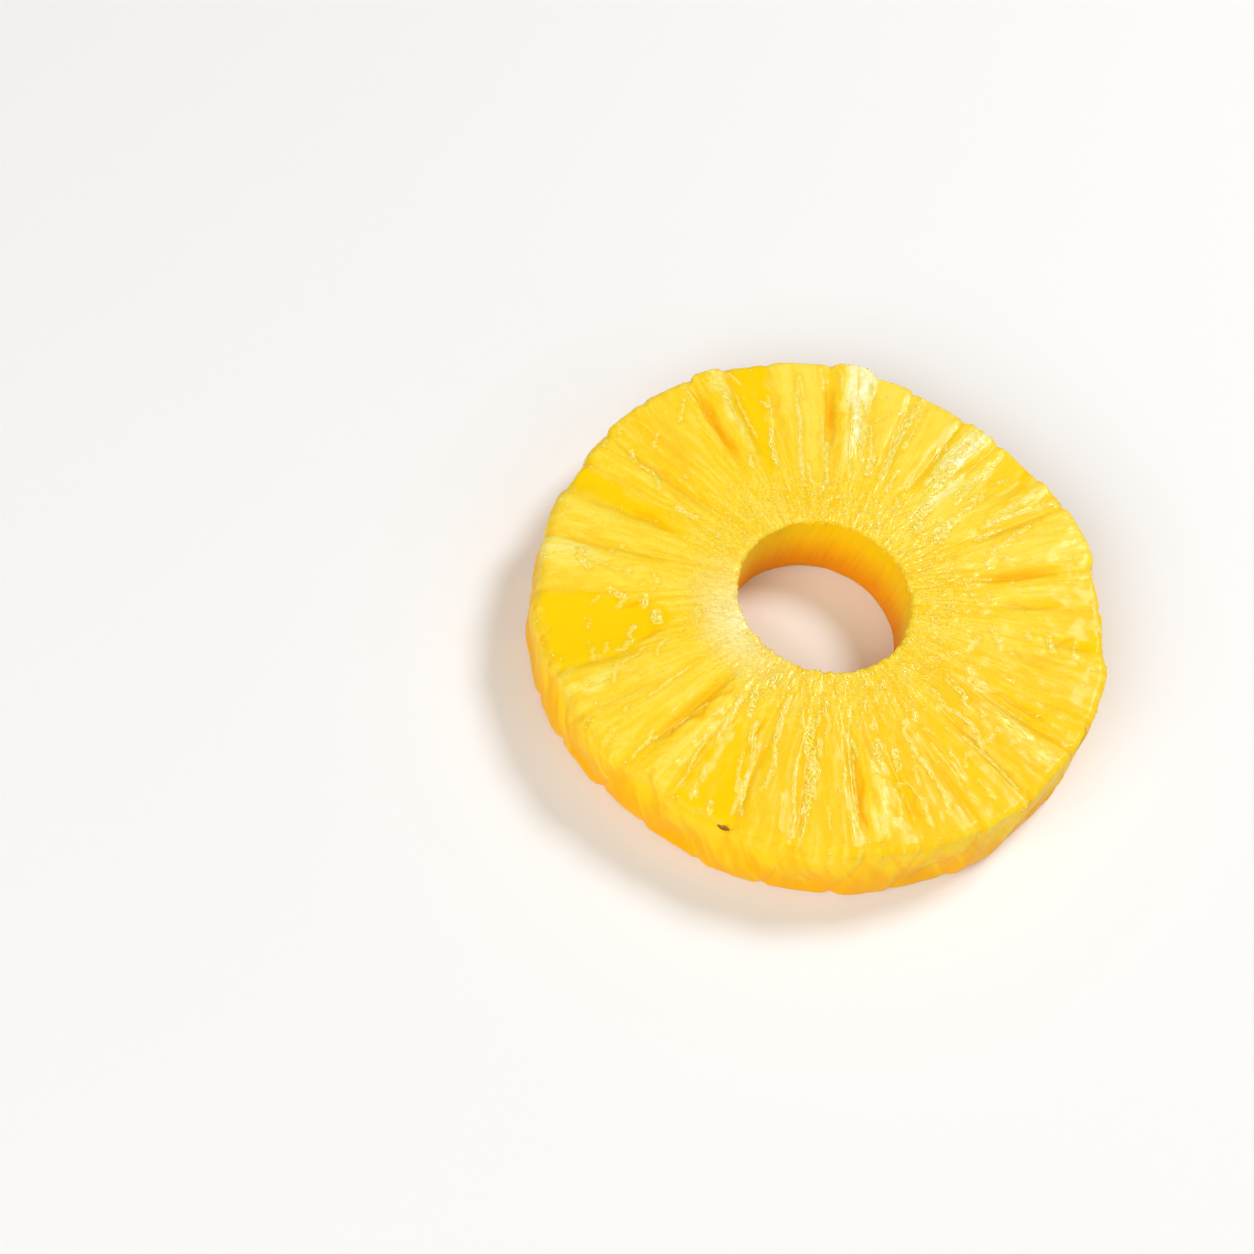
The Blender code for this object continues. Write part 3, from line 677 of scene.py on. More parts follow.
# Paths of the fibres that stand out of the cut face, each: width in millimetres, then the
# bearings and radii it passes, by turns. Beads are clusters of small sacs, lines are single
# threads, loops are pairs of threads that part and meet again.
paths = {
    "beads": [
        (0.4, 4, 29, 5.5, 28.5), (0.5, 4.5, 23.6, 7, 23.5), (0.5, 5, 26.8, 9, 26, 12, 25),
        (0.8, 8.5, 34.8, 12, 34), (0.5, 10.5, 31, 12.5, 30.6), (0.3, 9, 37.9, 12.5, 38.3),
        (0.4, 16, 41.8, 17.3, 41.9), (0.4, 20.5, 41.2, 23, 41.3), (0.4, 22.5, 25.2, 24.8, 25),
        (0.3, 21, 23.5, 22.5, 23.2), (0.35, 25, 22.5, 29, 22.2, 32.5, 22), (0.4, 31.3, 24.5, 31.6, 26.2),
        (0.35, 34.5, 26.2, 38, 26.2), (0.35, 38, 29.7, 38.3, 28.8), (0.4, 40, 28, 42, 28.6),
        (0.35, 42.5, 31, 44.5, 33, 45, 36), (0.6, 46.5, 27, 47.2, 31),
        (1.3, 52, 20.5, 55, 23, 56.5, 25.5), (0.9, 58, 32.6, 58.8, 30.6), (0.3, 58.5, 38, 60, 35.5),
        (1.2, 61, 19.7, 65, 21.5, 67, 25), (0.5, 62.8, 29, 63.8, 34, 63.6, 38),
        (1.7, 70, 26.4, 70.6, 30, 71, 34), (0.9, 71.2, 35, 71, 42), (0.4, 75, 21, 77, 22),
        (0.5, 76, 16, 79, 17), (0.4, 82.3, 22.5, 82.6, 26.5), (0.5, 87.3, 31, 86.8, 36),
        (1, 91.2, 24, 91.8, 27.3), (0.4, 92.3, 27, 93.2, 29.5), (1, 96, 29.2, 95.3, 32.4),
        (0.5, 94.6, 26, 97, 28.5), (0.5, 96.2, 39, 96.6, 41), (0.7, 98, 32.5, 98.2, 37),
        (0.4, 106.6, 20.5, 106.9, 24, 106.8, 28.5), (0.35, 113.7, 21, 113.9, 24),
        (0.4, 122.3, 35, 123.3, 36.5), (0.6, 133.5, 26.5, 134.8, 24.8),
        (0.3, 141.5, 39.8, 143.5, 38, 145.5, 36.8), (0.3, 152.5, 37, 154, 36.2, 156, 35.3),
        (0.35, 156.5, 28.3, 158.5, 28.7), (0.7, 160.8, 37.3, 162.5, 36), (0.6, 162, 32.5, 162.8, 34.5),
        (0.7, 168.2, 22.7, 168.3, 26), (0.3, 158, 41.2, 159.3, 40.8), (0.3, 162.5, 41.4, 164, 41),
        (0.9, 191.5, 36.5, 194, 37.2, 197, 35.5), (0.4, 190.3, 32.3, 191.8, 32.7),
        (0.5, 196.3, 29.4, 198, 29.8), (0.3, 197, 25.8, 200.5, 25, 202.5, 25.9),
        (0.3, 199.8, 27.3, 201, 27.4), (0.3, 188.3, 31, 189, 31.2),
        (0.9, 202.5, 32.3, 204, 31.5, 205, 30.3), (0.6, 205.3, 30, 208, 31.2),
        (0.9, 205, 27.2, 208.3, 27.4), (0.3, 205, 34, 206.5, 35), (0.3, 212, 35.8, 213.2, 36.3),
        (1.3, 211.5, 25.8, 213, 26.3, 214.5, 25.9), (0.6, 214.8, 29.6, 217, 30.8, 219.5, 30.5),
        (0.4, 219, 31.3, 221, 32, 220.8, 33.3), (0.3, 218, 34.3, 220.5, 35),
        (0.3, 218.5, 36.6, 222, 37.3), (0.6, 225.5, 34.8, 227, 35.3), (0.5, 227, 40, 227.8, 39),
        (0.3, 229.3, 31.6, 230.3, 31.8), (0.3, 235.5, 36.5, 236.3, 37.3), (0.3, 238.6, 40, 238.5, 41),
        (0.3, 245.2, 36.3, 245, 39, 245.3, 41.3), (0.5, 251.5, 28, 251.8, 26.5),
        (0.7, 254.8, 22.6, 255.8, 26), (0.4, 257, 29, 258, 27.3),
        (0.9, 257.5, 20.5, 259.3, 23, 260.5, 24.5), (0.6, 263.3, 40, 264, 41.5),
        (0.6, 264, 25.2, 266, 28.5), (0.5, 268, 33.5, 268.8, 37.5),
        (0.5, 272.8, 28.5, 273.2, 31, 273, 34), (0.4, 284.2, 22.5, 285, 20),
        (0.5, 285.3, 25, 285.7, 27.5), (0.4, 287.5, 23.5, 288.7, 22.5), (0.9, 283.2, 27, 283.4, 31.5),
        (0.35, 296.5, 24.5, 297.2, 27), (1, 303.2, 26, 303.6, 28.5), (0.5, 305, 25, 305.8, 26.2),
        (0.8, 308, 30.3, 308.6, 28.5, 309, 27), (0.6, 315.2, 24.5, 317.5, 23.2),
        (0.5, 321.8, 25.7, 322.6, 26), (0.35, 323.4, 31, 324.5, 30),
        (0.3, 320.5, 23.5, 322, 23, 323, 22.2), (0.3, 327.5, 27, 328, 28), (0.5, 334, 24, 335.5, 21.5),
        (0.6, 333.8, 32.3, 336.5, 32.4), (0.4, 338.5, 32.4, 339.5, 32.2),
        (0.8, 339, 26, 341.5, 25.6, 342.3, 23.8), (0.5, 339, 29.5, 340.8, 28.8),
        (0.4, 342, 22.5, 344.5, 21.5), (0.4, 348, 25.8, 348.6, 26.5), (0.4, 349.2, 25.5, 349.8, 26.5),
        (0.4, 348, 24.6, 351, 24, 353, 23), (0.3, 354.8, 29.8, 355.8, 28.3), (0.5, 260, 16.5, 262, 18.5),
        (0.4, 316, 16.8, 319, 16.2), (0.4, 167, 18.4, 170, 18.5), (0.5, 211, 19.7, 216, 19.8),
        (0.4, 332, 16.3, 335, 15.8),
    ],
    "lines": [
        (0.3, 29, 29.3, 30.8, 29.6), (0.25, 41.5, 28, 42, 31), (0.25, 50.5, 30, 51, 35, 52.5, 40),
        (0.3, 57.3, 30.5, 58, 28), (0.25, 61, 28, 62, 31, 63.3, 36, 64, 40),
        (0.3, 67.7, 26.8, 68.2, 31, 68.6, 36, 68.7, 42), (0.3, 72.5, 27, 73.6, 33, 72.8, 38, 73, 42.5),
        (0.3, 74.8, 32, 76, 36, 75.7, 40), (0.25, 72.3, 31.5, 74, 34.5, 76, 37),
        (0.25, 87.5, 39, 88.8, 37), (0.25, 84.3, 31, 83.8, 36, 84.5, 40),
        (0.25, 93.5, 30, 95, 33.5, 91.2, 36.5), (0.4, 97.5, 22, 99.6, 27, 100.3, 34, 101.5, 38),
        (0.3, 99.3, 37, 100.2, 43.5), (0.3, 103.3, 38, 104, 42.5), (0.2, 107.8, 25, 108, 33),
        (0.2, 107.8, 38, 108.3, 42.5), (0.18, 112.7, 36, 113, 39), (0.3, 122.7, 31.5, 121.3, 37),
        (0.2, 128.3, 30, 129, 36, 128.7, 39), (0.25, 127, 40, 129, 43),
        (0.25, 131.2, 27, 131.8, 33, 131.5, 38, 132.7, 43), (0.2, 133, 35, 132, 39.5, 134, 42.5),
        (0.2, 139, 38, 139.3, 41), (0.2, 194, 36.5, 196, 33, 197.2, 30),
        (0.2, 222, 25.5, 223, 27.3, 226, 28.3), (0.2, 222.5, 29.5, 224, 31, 224.6, 33),
        (0.2, 226, 35, 229, 36.3), (0.2, 227, 35.5, 227.8, 39),
        (0.22, 234.3, 25, 234.8, 28, 235.8, 31, 236, 33), (0.2, 247, 29.7, 246.5, 32, 246.2, 34),
        (0.2, 247.8, 27, 247, 29), (0.35, 255, 26, 254.5, 31, 254.8, 35, 256, 38),
        (0.3, 258.3, 35.5, 259.2, 37.5), (0.3, 258.8, 38.8, 259.5, 40.8), (0.3, 256, 40.3, 257.2, 39.7),
        (0.2, 264.5, 30, 265.5, 33, 267, 36.5), (0.25, 273.2, 34, 271.8, 35),
        (0.16, 277, 34.5, 277.6, 37, 278, 40.5), (0.2, 278, 20.5, 278.4, 23),
        (0.3, 282.2, 35, 283, 38.5, 282.3, 42), (0.3, 285.5, 29.5, 284, 33, 283.2, 37),
        (0.3, 287, 17.5, 287.5, 20, 288.5, 22), (0.16, 288, 35.7, 288.4, 39.5),
        (0.22, 293, 29, 292, 31.5, 292.1, 34.5), (0.3, 293.5, 36.5, 293, 39, 293.3, 41.5),
        (0.3, 297.5, 19.5, 295.8, 23, 294.7, 27, 294.3, 32, 294.4, 39.5),
        (0.2, 296.2, 27, 295.2, 31, 294.8, 36),
        (0.25, 305, 33.5, 306.8, 32.2, 309, 32.8, 310.2, 36, 309.5, 39.5),
        (0.2, 304, 38, 304.6, 36, 306.5, 34), (0.2, 311, 33, 312.5, 30.5, 313.8, 28.8),
        (0.2, 320.7, 28, 321.2, 32, 320.8, 36, 321, 40), (0.2, 322.5, 32, 322, 35),
        (0.2, 324.8, 33.8, 326.2, 32.5, 327.6, 31.8), (0.16, 325, 36, 325.2, 40),
        (0.2, 342.5, 37, 343.5, 33.5, 344.6, 30), (0.2, 236, 13.7, 240, 14.2, 244, 13.8),
        (0.2, 246, 13.9, 251, 14.3), (0.16, 231, 14.3, 235, 14),
    ],
    "loops": [
        (0.6, 49.5, 28.5, 49.8, 33, 48.8, 38, 48.3, 42.5), (0.5, 51.5, 33, 52, 38, 53.5, 42.5),
        (0.9, 86.3, 24, 86.6, 30, 86.4, 36, 85.2, 42), (0.6, 97.8, 32, 98.2, 36),
        (0.5, 116.8, 20, 116.2, 26, 114.5, 31, 114.7, 36, 113.2, 40.5),
        (0.7, 125.3, 24, 124.5, 28.5, 122.7, 31.5), (0.5, 162, 32.5, 163.8, 30.8, 165.8, 29.8),
        (0.65, 254.6, 22.5, 256, 26, 255.8, 29, 257.5, 31),
        (0.65, 263.8, 24.8, 264.5, 27.8, 266.5, 29, 268, 31.5),
        (0.45, 268, 31, 268.3, 34.5, 269, 38, 270, 40),
        (0.5, 271, 19, 270.7, 23, 271.5, 26.5, 273.2, 30),
        (0.4, 279.4, 27.8, 279, 31, 279.7, 34.5, 281, 38, 280.3, 42),
        (1.6, 282.3, 22, 281.8, 25, 284, 29.5, 283.3, 34, 282.9, 37),
        (0.6, 315, 24.5, 314.8, 28, 315.4, 31, 316, 34.5, 314.8, 39),
        (0.5, 333, 24, 334.5, 26.5, 334.8, 29, 332, 33), (0.5, 330.5, 30, 331.5, 36, 330.8, 40.5),
    ],
}

# Paths as plain edges above the cut face, with what the trees need kept on their points:
# how high they lie and how far apart their points are, in millimetres
guideHeight = 15.0
guideStep = 0.5
guidePhase = 1.7


def guideMesh(name, entries, sides=(0,), thread=None):
    points, edges = [], []
    kept = {"width": [], "side": [], "phase": [], "thick": []}
    for number, (width, *stops) in enumerate(entries):
        bearings, radii = np.radians(stops[0::2]), np.array(stops[1::2])
        legs = np.hypot(np.diff(radii), np.diff(bearings) * radii[1:])
        along = np.concatenate([[0.0], np.cumsum(legs)])
        t = np.linspace(0.0, along[-1], max(4, int(along[-1] / guideStep)))
        a, r = np.interp(t, along, bearings), np.interp(t, along, radii)
        for side in sides:
            first = len(points)
            points += np.stack([r * np.cos(a), r * np.sin(a), 0.0 * r + guideHeight], axis=1).tolist()
            edges += [(first + k, first + k + 1) for k in range(len(t) - 1)]
            kept["width"] += [width * mm] * len(t)
            kept["side"] += [side] * len(t)
            kept["phase"] += [guidePhase * number] * len(t)
            kept["thick"] += [(thread or width) * mm] * len(t)
    return meshPiece(name, [[c * mm for c in p] for p in points], edges=edges, values=kept)


# Fine relief of the flesh, heights and sizes in millimetres
fleshRelief = {
    "fibreHeight": 0.05,
    "fibreTurns": 88,
    "fibreRun": 12,
    "swellHeight": 0.13,
    "swellTurns": 14,
    "swellRun": 18,
    "stippleHeight": 0.17,
    "stippleSize": 0.55,
    "sacHeight": 0.26,
    "sacTurns": 44,
    "sacRun": 1.2,
    "poolSink": 0.14,
    "crackSink": 0.10,
    "strandHeight": 0.17,
    "strandReach": 0.32,
    "strandLump": 0.55,
    "lumpHeight": 0.26,
    "lumpSize": 3.6,
    "strokeHeight": 0.10,
    "crumbHeight": 0.15,
    "crumbSize": 1.0,
    "toothHeight": 0.42,
    "toothSize": 0.9,
    # painted shade: how far the deeper band round each strand reaches
    "haloReach": 0.55,
    "seed": 4,
}
# Where the relief changes its kind, as radii and heights in millimetres
reliefZones = {"outside": (17.0, 27.0), "hole": (14.6, 13.6), "holeTop": (10.8, 12.4)}
# How much fibres fade in pools, how much stipple is left outside, how high sacs stand, and how
# much of the crumbs the wall and the hole's edge have
reliefShares = {"poolFade": 0.85, "stipple": 0.15, "sacLevel": 0.45, "wallCrumb": 0.3, "holeCrumb": 0.45}
# The strands' borders waver, and the strands are broken up by spots of a size
strandWaver = {"size": 0.9, "reach": 0.8, "core": 0.3, "brokenSize": 0.6, "broken": (0.36, 0.56, 0.15)}
# The noise of each kind of relief
reliefNoise = {
    "fibre": {"detail": 3.0, "warp": 0.4, "shift": 0.0},
    "swell": {"warp": 0.3, "shift": 3.0},
    "stipple": {"shift": 5.0},
    "lump": {"shift": 11.0},
    "stroke": {"turns": 46.0, "run": 9.0, "fall": 7.0, "detail": 3.0, "warp": 0.6, "shift": 12.0},
    "crumb": {"detail": 3.0, "shift": 13.0},
    "tooth": {"detail": 1.0, "shift": 15.0},
}
# Broad patterns that are kept on the points for the material: turns round the slice, run and
# fall in millimetres, or the size of round spots
broadPatterns = {
    "wideStreak": {"turns": 7.0, "run": 26.0, "warp": 0.3, "shift": 17.0},
    "midStreak": {"turns": 26.0, "run": 16.0, "detail": 3.0, "warp": 0.4, "shift": 19.0},
    "ragged": {"size": 0.9, "detail": 3.0, "shift": 21.0},
    "patches": {"size": 3.2, "detail": 3.0, "shift": 23.0},
    "clouds": {"turns": 38.0, "run": 5.5, "warp": 0.7, "shift": 27.0},
    "wallStroke": {
        "turns": 26.0, "run": 9.0, "fall": 10.0, "lean": 0.012, "detail": 3.0, "warp": 0.5, "shift": 29.0,
    },
}


def reliefTree(material, guides):
    tree, sizes, w, given = newTree("fleshRelief", fleshRelief, material=material, guides=guides)
    position = w.make("GeometryNodeInputPosition").outputs[0]
    normal = w.make("GeometryNodeInputNormal").outputs[0]
    seed = w.times(given["seed"], 7.31)
    radius = w.radiusOf(position)
    face, wall, edge, juicy, pale, crack = w.attributes("face wall edge juicy pale crack")
    outside = w.between(radius, reliefZones["outside"])
    inside = w.rest(outside)
    dry = w.rest(w.times(juicy, reliefShares["poolFade"]))

    # one kind of relief, as high and as fine as its measures say
    def relief(kind, *masks):
        row = dict(reliefNoise[kind])
        for key in ("Turns", "Run", "Size"):
            if kind + key in fleshRelief:
                row[key.lower()] = given[kind + key]
        return w.swing(w.pattern(position, row, seed), given[kind + "Height"], *masks)

    # fibres and broader swellings run outwards; round the core short cut fibres stipple it
    fibre, swell = relief("fibre", outside, dry), relief("swell", outside, dry)
    stipple = relief("stipple", w.add(reliefShares["stipple"], inside))

    # pale strands swell along the fibre paths, lumpy as wet sacs
    strandPaths = w.geometryOf(given["guides"])
    waver = w.drift(position, w.perSize(strandWaver["size"]), seed)
    x, y, _ = w.partsOf(w.offset(position, waver, strandWaver["reach"] * mm))
    above = {"Sample Position": w.combine(x, y, guideHeight * mm)}
    gap = w.make("GeometryNodeProximity", {"Geometry": strandPaths, **above}, target_element="EDGES")
    gap = gap.outputs["Distance"]
    nearest = w.make("GeometryNodeSampleNearest", {"Geometry": strandPaths, **above}, domain="POINT")
    width = {"Geometry": strandPaths, "Value": w.attribute("width"), "Index": nearest.outputs[0]}
    width = w.make("GeometryNodeSampleIndex", width, data_type="FLOAT", domain="POINT").outputs[0]
    reach = w.add(w.times(width, 0.5), w.times(given["strandReach"], mm))
    # painted shade: a deeper band round each strand, where its shade falls
    halo = w.times(w.ramp(gap, w.add(reach, w.times(given["haloReach"], mm)), reach), face)
    broken = w.spots(position, strandWaver["brokenSize"], shift=w.add(seed, 10.0))
    broken = w.ramp(broken, *strandWaver["broken"])
    strand = w.times(w.ramp(gap, reach, w.times(width, strandWaver["core"])), broken, face)
    lumps = w.cells(position, scale=w.perSize(given["strandLump"]), shift=w.add(seed, 9.0))
    strandHeight = w.times(strand, w.rest(lumps), given["strandHeight"])

    # juice sacs stand up in the pale fibre; pools and seams lie lower
    sacs = w.cells(w.radial(position, given["sacTurns"], given["sacRun"]), shift=w.add(seed, 8.0))
    sacs = w.times(w.math("SUBTRACT", reliefShares["sacLevel"], sacs), given["sacHeight"], pale)
    sunk = w.add(w.times(juicy, given["poolSink"]), w.times(crack, given["crackSink"]))
    faceHeight = w.add(fibre, swell, stipple, sacs, strandHeight)
    faceHeight = w.times(w.math("SUBTRACT", faceHeight, sunk), face)

    # the peeled wall is lumpy with soft upright strokes, and crumbs break its edges
    lump, stroke, crumb = relief("lump"), relief("stroke"), relief("crumb")
    hole = w.between(w.partsOf(position)[2], reliefZones["holeTop"])
    hole = w.times(w.between(radius, reliefZones["hole"]), hole)
    wallHeight = w.times(w.add(lump, stroke, w.times(crumb, reliefShares["wallCrumb"])), wall)
    rimHeight = w.times(crumb, w.add(edge, w.times(hole, reliefShares["holeCrumb"])))
    rimHeight = w.add(rimHeight, relief("tooth", hole))

    # what the material reads is kept on the points
    geometry = given["Geometry"]
    patterns = {"strand": strand, "halo": halo}
    patterns.update({key: w.pattern(position, row, seed) for key, row in broadPatterns.items()})
    for key, value in patterns.items():
        stored = {"Geometry": geometry, "Name": key, "Value": value}
        stored = w.make("GeometryNodeStoreNamedAttribute", stored, data_type="FLOAT", domain="POINT")
        geometry = stored.outputs[0]

    moved = w.offset(position, normal, w.times(w.add(faceHeight, wallHeight, rimHeight), mm))
    # nothing sinks below the plane the slice rests on
    clear = w.vector("MAXIMUM", moved, (-1.0, -1.0, 0.0))
    w.dress(w.placed(geometry, clear), given["material"])
    return tree, sizes


# Flesh colours in linear light, and how its finish varies
fleshFinish = {
    "plain": (0.95, 0.655, 0.016, 1.0),
    "light": (0.96, 0.74, 0.07, 1.0),
    "bloom": (0.96, 0.765, 0.10, 1.0),
    "deep": (0.93, 0.58, 0.006, 1.0),
    "pool": (0.95, 0.635, 0.0008, 1.0),
    # painted shade along the cracks and beside them
    "crack": (0.92, 0.46, 0.0008, 1.0),
    # painted shade in the clefts
    "cleft": (0.97, 0.52, 0.003, 1.0),
    "fibre": (0.97, 0.83, 0.13, 1.0),
    "white": (0.98, 0.92, 0.48, 1.0),
    "wallTop": (1.0, 0.63, 0.006, 1.0),
    # painted shade at the wall's foot
    "wallFootShade": (0.98, 0.46, 0.0008, 1.0),
    "wallPale": (1.0, 0.68, 0.018, 1.0),
    "wallSeam": (0.94, 0.44, 0.001, 1.0),
    "boreTop": (1.0, 0.66, 0.0003, 1.0),
    # painted shade deep in the hole
    "boreFootShade": (0.84, 0.31, 0.0, 1.0),
    "scatter": (1.0, 0.82, 0.15),
    "scatterDepth": 0.0018,
    "scatterShare": 0.40,
    "roughness": 0.44,
    "leastRoughness": 0.18,
    "ior": 1.33,
    "gloss": 0.14,
    "coat": 0.30,
    "coatRoughness": 0.14,
    "coatIor": 1.34,
}
# Layers of colour over the plain cut face, laid one after another: a pattern, the values it
# fades in between and what it starts from, its share, how much more of it lies round the
# core, and what bounds it
faceLayers = [
    {"of": "streak", "fades": (0.36, 0.52), "colour": "plain"},
    {"of": "streak", "fades": (0.50, 0.66), "colour": "light"},
    {"of": "bloom", "share": 0.75, "colour": "bloom"},
    {"of": "deep", "share": 0.90, "colour": "deep"},
    {"of": "clouds", "fades": (0.48, 0.66), "share": 0.50, "colour": "bloom"},
    {"of": "clouds", "fades": (0.50, 0.34), "share": 0.35, "core": 0.35, "colour": "deep"},
    {"of": "cut", "fades": (0.47, 0.66), "share": 0.22, "core": 0.48, "mask": "calm", "colour": "fibre"},
    {"of": "specks", "fades": (0.42, 0.28), "share": 0.15, "core": 0.35, "colour": "deep"},
    {"of": "dashes", "fades": (0.26, 0.56, 0.45), "mask": "glow", "colour": "white"},
    {"of": "pool", "colour": "pool"},
    # painted shade on one side of each crack
    {"of": "crackSide", "share": 0.20, "colour": "crack"},
    # painted shade: the clefts darkened in colour
    {"of": "cleft", "share": 0.60, "colour": "cleft"},
    # painted shade round the strands
    {"of": "halo", "share": 0.40, "colour": "deep"},
    # painted shade: the cracks themselves, with ragged borders
    {"of": "raggedSwing", "fades": (-0.9, 0.1, 0.35), "mask": "crack", "colour": "crack"},
    {"of": "torn", "fades": (0.30, 1.15), "within": ("pale", 0.02, 0.45), "share": 0.9, "colour": "fibre"},
    {"of": "torn", "fades": (0.65, 1.35), "within": ("pale", 0.4, 0.9), "colour": "white"},
    {"of": "lit", "fades": (0.10, 0.95), "within": ("strand", 0.02, 0.3), "share": 0.80, "colour": "fibre"},
    {"of": "lit", "fades": (0.85, 1.35), "within": ("strand", 0.4, 0.8), "share": 0.45, "colour": "white"},
]
# The same for the outer wall, which deepens at the seams and takes painted shade towards its foot, and for
# the hole's wall, which takes painted shade towards its foot
wallLayers = [
    # painted shade towards the wall's foot
    {"of": "wallFootShade", "fades": (0.0, 0.75), "colour": "wallFootShade"},
    {"of": "seam", "share": 0.55, "colour": "wallSeam"},
    {"of": "wallSpots", "fades": (0.50, 0.66), "share": 0.65, "colour": "wallPale"},
]
# painted shade: the hole's wall darkens towards its foot
boreLayers = [{"of": "boreFootShade", "colour": "boreFootShade"}]
# What patterns are mixed from, and by which weights; one named swing runs from -1 to 1. The
# last four change the finish and the bump.
fleshMixes = {
    "streak": {"wideStreak": 0.45, "midStreak": 0.40, "fine": 0.15},
    "cut": {"dashes": 0.6, "specks": 0.4, "cloudsSwing": 0.10},
    "pool": {"raggedSwing": 0.34, "cloudsSwing": 0.25},
    "torn": {"pale": 1.25, "fineSwing": 0.30, "midStreakSwing": 0.45, "raggedSwing": 0.15},
    "lit": {"raggedSwing": 0.35, "specksSwing": 0.35},
    "wallFootShade": {"low": 0.75, "wallStrokeSwing": -1.1},
    "wallSpots": {"patches": 0.5, "wallStroke": 0.5, "low": -0.10},
    "boreFootShade": {"wallStrokeSwing": 0.35},
    "rough": {"midStreakSwing": 0.12, "pool": -0.20, "pale": -0.16},
    "wet": {"pool": -0.12, "pale": 0.30, "strand": 0.25, "inside": 0.20},
    "sac": {"strand": 0.8, "inside": 0.30},
    "grain": {"inside": 0.10, "pool": -0.02},
}
# Radii and heights where the colours change, and how far the border between face and wall
# wanders, in millimetres
fleshZones = {
    "outside": (17.0, 26.0),
    "foot": (11.5, 1.5),
    "wall": (12.8, 9.4),
    "ragged": 0.9,
    "stroke": 4.0,
}
# How far pools reach, how much fewer fibres lie in deep parts and in pools, how much the outer
# wall and its edge dry, and the bump in millimetres
fleshShares = {
    "pool": (0.16, 0.86),
    "deepCalm": 0.6,
    "poolCalm": 0.85,
    "wallDry": 0.75,
    "edgeDry": 0.6,
    "fibreBump": 0.045,
    "sacBump": -0.20,
    "sacEverywhere": 0.02,
    "grainBump": 0.03,
}
finePatterns = {
    "fine": {"turns": 130.0, "run": 6.0, "shift": 3.0},
    "dashes": {"turns": 46.0, "run": 0.9, "twist": 0.02, "shift": 6.0},
    "specks": {"size": 0.42, "detail": 1.0, "shift": 7.0},
    "grain": {"size": 0.35, "detail": 1.0, "shift": 25.0},
}
sacPattern = {"turns": 60.0, "run": 0.9}
storedPatterns = (
    "face wall bore edge seam juicy pale glow bloom deep crack crackSide cleft strand halo "
    "wideStreak midStreak clouds patches wallStroke ragged"
)


def fleshMaterial(name):
    finish, shares, zones = fleshFinish, fleshShares, fleshZones
    material, w = newMaterial(name)
    position = w.make("ShaderNodeTexCoord").outputs["Object"]
    height = w.partsOf(position)[2]
    p = {key: w.attribute(key) for key in storedPatterns.split()}
    p.update({key: w.pattern(position, row) for key, row in finePatterns.items()})
    for key in ("ragged", "clouds", "wallStroke", "midStreak", "fine", "specks"):
        p[key + "Swing"] = w.around(p[key])

    def mixed(key, start=None):
        terms = [w.times(p[part], weight) for part, weight in fleshMixes[key].items()]
        return w.add(*terms) if start is None else w.add(start, *terms)

    # the colours of a list of layers over a base
    def layered(base, layers):
        for layer in layers:
            shown = p[layer["of"]]
            if "fades" in layer:
                shown = w.ramp(shown, *layer["fades"])
            if "within" in layer:
                bound, low, high = layer["within"]
                shown = w.times(shown, w.ramp(p[bound], low, high))
            if "share" in layer:
                share = layer["share"]
                if "core" in layer:
                    share = w.add(share, w.times(p["inside"], layer["core"]))
                shown = w.times(shown, share)
            if "mask" in layer:
                shown = w.times(shown, p[layer["mask"]])
            base = w.blend(shown, base, finish[layer["colour"]])
        return base

    p["inside"] = w.times(w.rest(w.between(w.radiusOf(position), zones["outside"])), p["face"])
    p["low"] = w.between(height, zones["foot"])
    p["calm"] = w.rest(w.times(p["deep"], shares["deepCalm"]))
    p["pool"] = w.times(w.ramp(mixed("pool", p["juicy"]), *shares["pool"]), p["face"])
    for key, start in (("streak", None), ("cut", None), ("torn", None), ("lit", p["strand"]),
                       ("wallFootShade", None), ("wallSpots", None), ("boreFootShade", p["low"])):
        p[key] = mixed(key, start)

    base = layered(finish["deep"], faceLayers)
    ragged = w.times(p["raggedSwing"], zones["ragged"] * mm)
    border = w.add(height, ragged, w.times(p["wallStrokeSwing"], zones["stroke"] * mm))
    side = w.times(w.between(border, zones["wall"]), w.most(p["edge"], p["wall"]))
    base = w.blend(side, base, layered(finish["wallTop"], wallLayers))
    base = w.blend(p["bore"], base, layered(finish["boreTop"], boreLayers))

    rough = w.most(mixed("rough", finish["roughness"]), finish["leastRoughness"])
    dry = w.most(w.times(p["wall"], shares["wallDry"]), w.times(p["edge"], shares["edgeDry"]))
    wet = w.times(mixed("wet", finish["coat"]), w.rest(dry), w.rest(p["bore"]))

    # bump: fibres, sacs and a fine moist grain
    fibreBump = w.times(p["fine"], w.rest(w.times(p["pool"], shares["poolCalm"])), shares["fibreBump"])
    sacs = w.cells(w.radial(position, **sacPattern), shift=23.0)
    sacBump = w.times(sacs, shares["sacBump"], w.add(mixed("sac", p["pale"]), shares["sacEverywhere"]))
    grainBump = w.times(p["grain"], mixed("grain", shares["grainBump"]))
    w.shade(base, rough, w.add(fibreBump, sacBump, grainBump), finish, wet)
    return material


strandGuides = guideMesh("strandGuides", [entry for kind in paths.values() for entry in kind])
flesh = buildSkin("flesh")
runTree(flesh, *reliefTree(fleshMaterial("pineappleFlesh"), strandGuides))
bpy.data.objects.remove(strandGuides)
print("stage 2: flesh made,", len(flesh.data.polygons), "faces")


